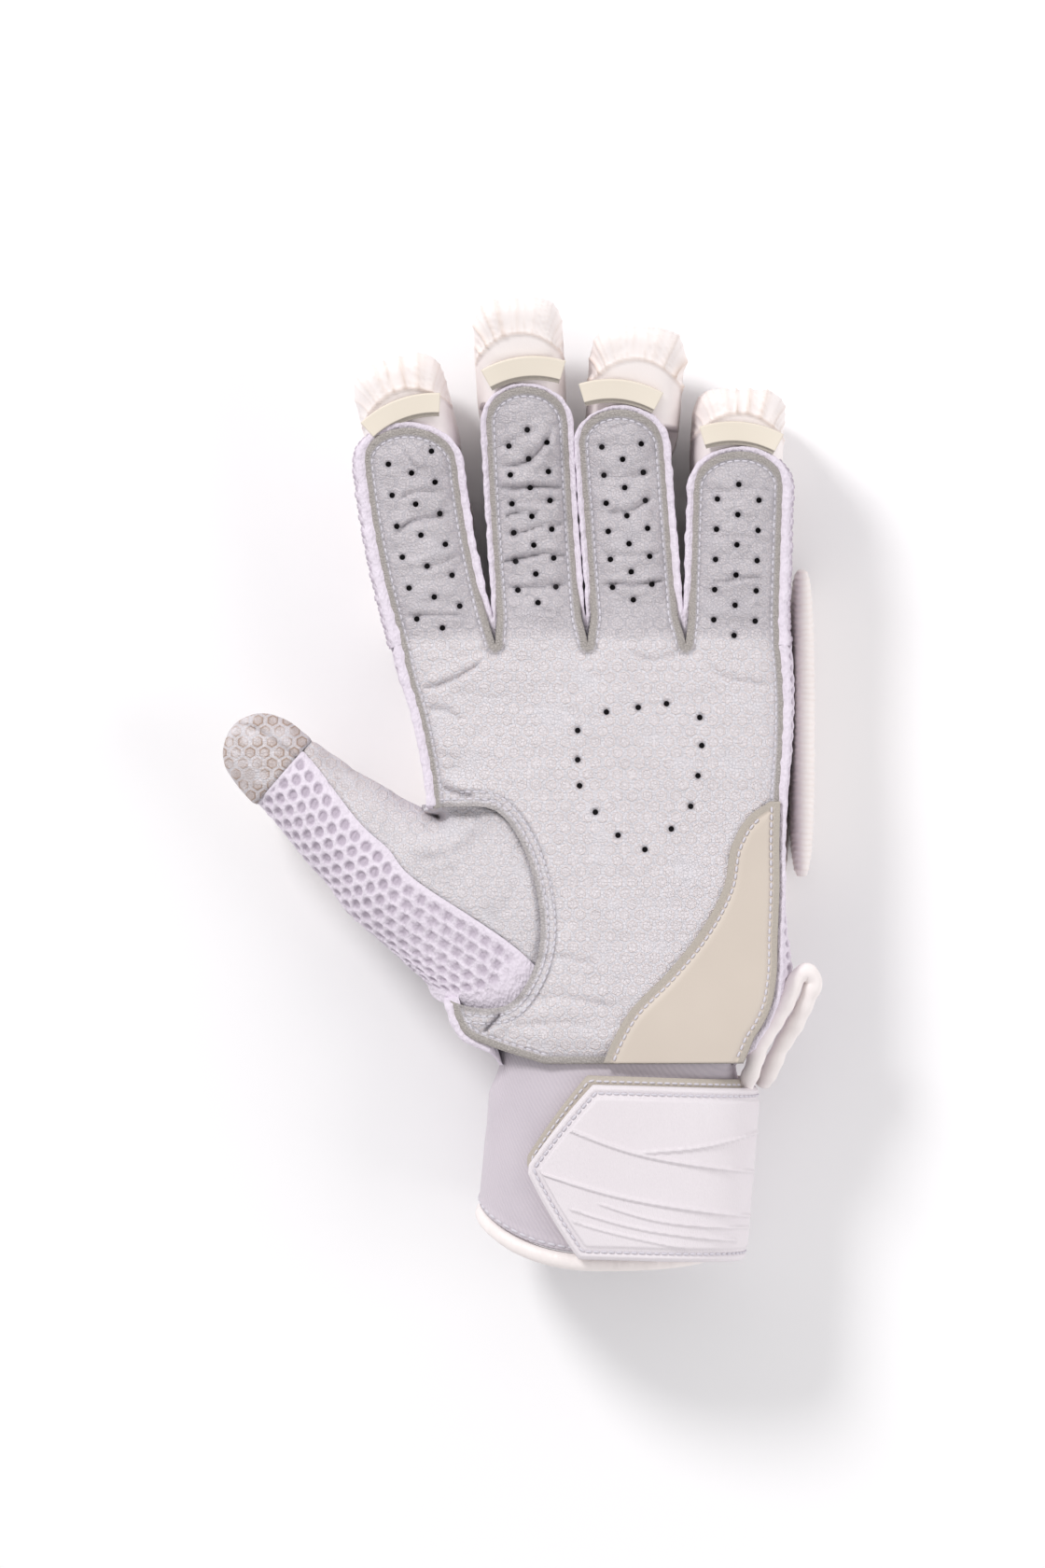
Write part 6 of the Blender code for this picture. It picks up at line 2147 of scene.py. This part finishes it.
def make_patch():
    """A sheet over palm_top with a raw border, a stitch line and a soft middle."""
    y = np.linspace(-PATCH_EDGES[0]["down"], -PATCH_EDGES[-1]["down"], 130)[:, None] * PALM_LENGTH
    share = np.linspace(0, 1, 80)[None]
    left, right = patch_edge(y), palm_edge(y, "right") - 0.2 * MM
    x = left + (right - left) * share
    edge_line = np.stack([patch_edge(y[:, 0]), y[:, 0]], axis=1)
    inset, _ = edge_distance(x, y + 0 * x, edge_line)
    inset = np.minimum(inset, right - x)
    raw = ease((2.0 * MM - inset) / (0.4 * MM))
    stitched = -0.35 * MM * bell(inset - 2.4 * MM, 0.5 * MM)
    soft = ripple(x / (12 * MM), y / (16 * MM), 2.5) * 0.35 * MM * ease(inset / (5 * MM))
    height = stitched + soft + 0.35 * MM * ease((inset - 2.4 * MM) / (2.0 * MM))
    z = palm_top(x, y + 0 * x) + SEAM_GAP + PATCH_THICKNESS + height
    points = np.stack([x, y + 0 * x, z], axis=-1)
    made = surface("heel_patch_skin", points[::-1], values={"raw": raw[::-1]})
    solid_wall(made, PATCH_THICKNESS)
    return dress(made, "cream_hide", ["heel_patch"])



# %% [markdown]
# Beside the patch a rounded binding folds back on itself. A curve with a bevel would give the
# same tube, but its cross sections could turn on the way.

# %% Piping
PIPING_FULLNESS = 0.6 * MM
PIPING_TUCK = np.array((-2.5, -5.0, -6.0)) * MM


def piping_path():
    """The piping's centre line, a smooth curve through its table."""
    y = -column(PIPING_ROUTE, "down") * PALM_LENGTH
    x = palm_edge(np.maximum(y, -PALM_LENGTH), "right") + column(PIPING_ROUTE, "outside")
    knots = np.stack([x, y, column(PIPING_ROUTE, "height")], axis=1)
    knots = np.concatenate([knots[:1] + PIPING_TUCK, knots, knots[-1:] + PIPING_TUCK])
    walked = lengths(knots)
    return even(through(walked, knots, np.linspace(0, walked[-1], 400)), 160)


def make_piping():
    """A round tube along the path, puckered by two sine waves."""
    path = piping_path()
    walked = lengths(path)
    pucker = 1 + 0.05 * np.sin(walked / (0.9 * MM)) + 0.04 * np.sin(walked / (2.3 * MM) + 1)
    made = tube("wrist_piping_skin", path, (PIPING_RADIUS + PIPING_FULLNESS) * pucker, 20)
    return dress(made, "white_leather", ["wrist_piping"])


make_patch()
make_piping()

# %% [markdown]
# ## Stitches
# Every seam is a row of short stitches half sunk in the leather. An array modifier along a curve
# could repeat one stitch. Arrays of points place all of them at once and keep each at its own
# place.

# %% A row of stitches


def offset_line(line, inset):
    """A line moved to its left by inset."""
    along = np.gradient(line, axis=0)
    along /= np.maximum(np.linalg.norm(along, axis=1, keepdims=True), 1e-12)
    normal = np.stack([-along[:, 1], along[:, 0]], axis=1)
    return line + normal * inset


STITCH_SINK = 0.1 * MM


def stitch_row(
    name, path, pitch=2.1 * MM, length=1.75 * MM, radius=0.33 * MM
):
    """Rounded stitches along a path of points in design space."""
    walked = lengths(path)
    count = max(2, int(walked[-1] / pitch))
    at = (np.arange(count) + 0.5) * walked[-1] / count
    middle = np.stack([np.interp(at, walked, path[:, i]) for i in range(3)], axis=1)
    ahead_of = np.stack([np.interp(at + 0.4 * pitch, walked, path[:, i]) for i in range(3)], axis=1)
    along = ahead_of - middle
    along /= np.maximum(np.linalg.norm(along, axis=1, keepdims=True), 1e-12)
    side = np.cross(along, (0.0, 0.0, 1.0))
    side /= np.maximum(np.linalg.norm(side, axis=1, keepdims=True), 1e-9)
    up = np.cross(side, along)
    shares = np.array((-1.0, -0.86, -0.5, 0.0, 0.5, 0.86, 1.0))
    ring = np.linspace(0, 2 * np.pi, 6, endpoint=False)
    reach = np.sqrt(np.maximum(0, 1 - shares**4)) * radius
    bow = (1 - shares**2) * 0.12 * MM
    template_along = shares[:, None] * length / 2 + 0 * ring
    template_side = reach[:, None] * np.cos(ring)
    template_up = reach[:, None] * np.sin(ring) + bow[:, None] - STITCH_SINK
    points = (
        middle[:, None, None]
        + along[:, None, None] * template_along[None, ..., None]
        + side[:, None, None] * template_side[None, ..., None]
        + up[:, None, None] * template_up[None, ..., None]
    )
    faces = grid_faces(len(shares), len(ring), wrap=True)[:, ::-1]
    every = (np.arange(count)[:, None, None] * shares.size * ring.size + faces[None]).reshape(-1, 4)
    made = make_mesh(name, points.reshape(-1, 3) + SHIFT, every)
    return dress(made, "thread")

# %% [markdown]
# The seams run just inside the leather's edge, along the thumb's base, down the patch and round
# the cuff, the strap and its tape.

# %% Seams


def sewn_outline():
    """The seam just inside the palm leather's edge, with rounded turns below the finger gaps."""
    fingers = [finger_outline(name) for name in FINGERS]
    parts = [palm_side("left")] + fingers + [palm_side("right")[::-1]]
    moved = []
    for part in parts:
        line = even(part, max(40, int(lengths(part)[-1] / (0.8 * MM))))
        along = np.gradient(line, axis=0)
        along /= np.linalg.norm(along, axis=1, keepdims=True)
        moved.append(line + np.stack([along[:, 1], -along[:, 0]], axis=1) * STITCH_INSET)
    line = np.concatenate(moved)
    keep, _ = edge_distance(line[:, 0], line[:, 1], OUTLINE)
    return line[keep > STITCH_INSET - 0.25 * MM]


def surface_row(name, line):
    """A stitch row along a flat line, laid on the palm's surface."""
    return stitch_row(name, on_palm(line[:, 0], line[:, 1]))


def split_at_gaps(line, gap):
    """Pieces of a line between jumps."""
    jumps = np.nonzero(np.linalg.norm(np.diff(line, axis=0), axis=1) > gap)[0] + 1
    return [piece for piece in np.split(line, jumps) if len(piece) > 8]


def make_edge_stitches():
    """The seam all round the palm leather, left out at the thumb, the heel and the patch."""
    line = sewn_outline()
    outside = ~inside_shape(line[:, 0], line[:, 1], THUMB_HOLE)
    away, _ = edge_distance(line[:, 0], line[:, 1], THUMB_HOLE)
    line = line[outside & (away > 2.5 * MM)]
    line = line[line[:, 1] > -PALM_LENGTH + 2 * MM]
    under_patch = (line[:, 1] < -PATCH_EDGES[0]["down"] * PALM_LENGTH) & (line[:, 0] > 0)
    line = line[~under_patch]
    for number, piece in enumerate(split_at_gaps(line, 5 * MM)):
        surface_row(f"edge_stitches_{number}", piece)


def make_thumb_stitches():
    """Two rows of stitches on the palm along the thumb's base."""
    for number, inset in enumerate(THUMB_SEAM_ROWS):
        line = thumb_base_point(np.linspace(12, 172, 220), SEAM_GAP + inset)[:, :2]
        near, _ = edge_distance(line[:, 0], line[:, 1], OUTLINE)
        inner = inside_shape(line[:, 0], line[:, 1], OUTLINE)
        surface_row(f"thumb_stitches_{number}", line[inner & (near > 1.5 * MM)])


def make_patch_stitches():
    """Two seams along the two sides of the heel patch."""
    y = np.linspace(-0.40, -0.985, 120) * PALM_LENGTH
    left = np.stack([patch_edge(y), y], axis=1)
    left = offset_line(left, 2.4 * MM)
    height = palm_top(left[:, 0], left[:, 1]) + SEAM_GAP + PATCH_THICKNESS
    stitch_row("patch_stitches_left", np.concatenate([left, height[:, None]], axis=1))
    y = np.linspace(-0.385, -0.985, 120) * PALM_LENGTH
    x = palm_edge(y, "right") - 2.6 * MM
    height = palm_top(x, y) + SEAM_GAP + PATCH_THICKNESS
    stitch_row("patch_stitches_right", np.stack([x, y, height], axis=1))


def make_cuff_stitches():
    """Stitches round the hem, and round the edge of the strap and of its tape."""
    angle = np.linspace(0, 360, 700)
    hem_line = cuff_point(angle, hem(angle) + 1.2 * MM, 0.15 * MM)
    stitch_row("hem_stitches", hem_line, 2.9 * MM, 2.4 * MM, 0.42 * MM)
    strap_line = band_seam(STRAP_FACE, 0.0, 0.0, STRAP_SEAM)
    stitch_row("strap_stitches", strap_line)
    tape_line = band_seam(TAPE_FACE, TAPE_LEAD, TAPE_SHIFT, TAPE_SEAM)
    stitch_row("tape_stitches", tape_line)


make_edge_stitches()
make_thumb_stitches()
make_patch_stitches()
make_cuff_stitches()

# %% [markdown]
# ## Camera, light and floor
# The photograph looks straight down on the glove, with a long lens, in soft, even light. A small
# key light draws the creases and a wide fill light opens the shadows.

# %% Stage
PALM_LEVEL = 45.0 * MM
FRAME_HEIGHT = 436.8 * MM
CAMERA_HEIGHT = 1.9
SENSOR = 36.0


def make_camera():
    """A long lens whose picture is FRAME_HEIGHT high at the palm's level."""
    camera = bpy.data.cameras.new("camera")
    camera.sensor_width = SENSOR
    camera.lens = SENSOR * (CAMERA_HEIGHT - PALM_LEVEL) / FRAME_HEIGHT
    camera.clip_start, camera.clip_end = 0.05, 20.0
    made = bpy.data.objects.new("camera", camera)
    made.location = (0.0003, 0.0002, CAMERA_HEIGHT)
    bpy.context.scene.collection.objects.link(made)
    bpy.context.scene.camera = made
    return made


def make_light(name, place, size, power):
    """A round area light that looks at the origin."""
    light = bpy.data.lights.new(name, "AREA")
    light.shape = "DISK"
    light.size = size
    light.energy = power
    made = bpy.data.objects.new(name, light)
    made.location = place
    direction = -np.array(place)
    made.rotation_euler = (
        np.arccos(-direction[2] / np.linalg.norm(direction)),
        0.0,
        np.arctan2(direction[1], direction[0]) - np.pi / 2,
    )
    bpy.context.scene.collection.objects.link(made)
    return made


FLOOR_REACH = 2.0


def make_floor():
    """A white square that the glove lies on."""
    corners = ((-1, -1, 0), (1, -1, 0), (1, 1, 0), (-1, 1, 0))
    points = np.array(corners) * FLOOR_REACH
    made = make_mesh("floor", points, np.array([(0, 1, 2, 3)]), smooth=False)
    finish = Finish("floor")
    made.data.materials.append(finish.set(colour(250, 249, 250), 0.9))
    return made


def make_world():
    """Even white light from all round."""
    world = bpy.data.worlds.new("studio")
    world.use_nodes = True
    background = world.node_tree.nodes["Background"]
    background.inputs["Color"].default_value = (1.0, 0.99, 1.0, 1.0)
    background.inputs["Strength"].default_value = 0.64
    bpy.context.scene.world = world


# The studio picture keeps the colours of its whites, so no film curve is laid over them.
bpy.context.scene.view_settings.view_transform = "Standard"
make_camera()
make_light("key", (-1.0, 1.2, 1.35), 0.55, 23.0)
make_light("fill", (1.5, -0.3, 1.0), 1.2, 9.0)
make_floor()
make_world()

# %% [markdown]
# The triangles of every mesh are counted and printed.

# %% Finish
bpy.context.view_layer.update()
triangles = sum(len(made.data.polygons) for made in bpy.data.objects if made.type == "MESH")
print("triangles", triangles)
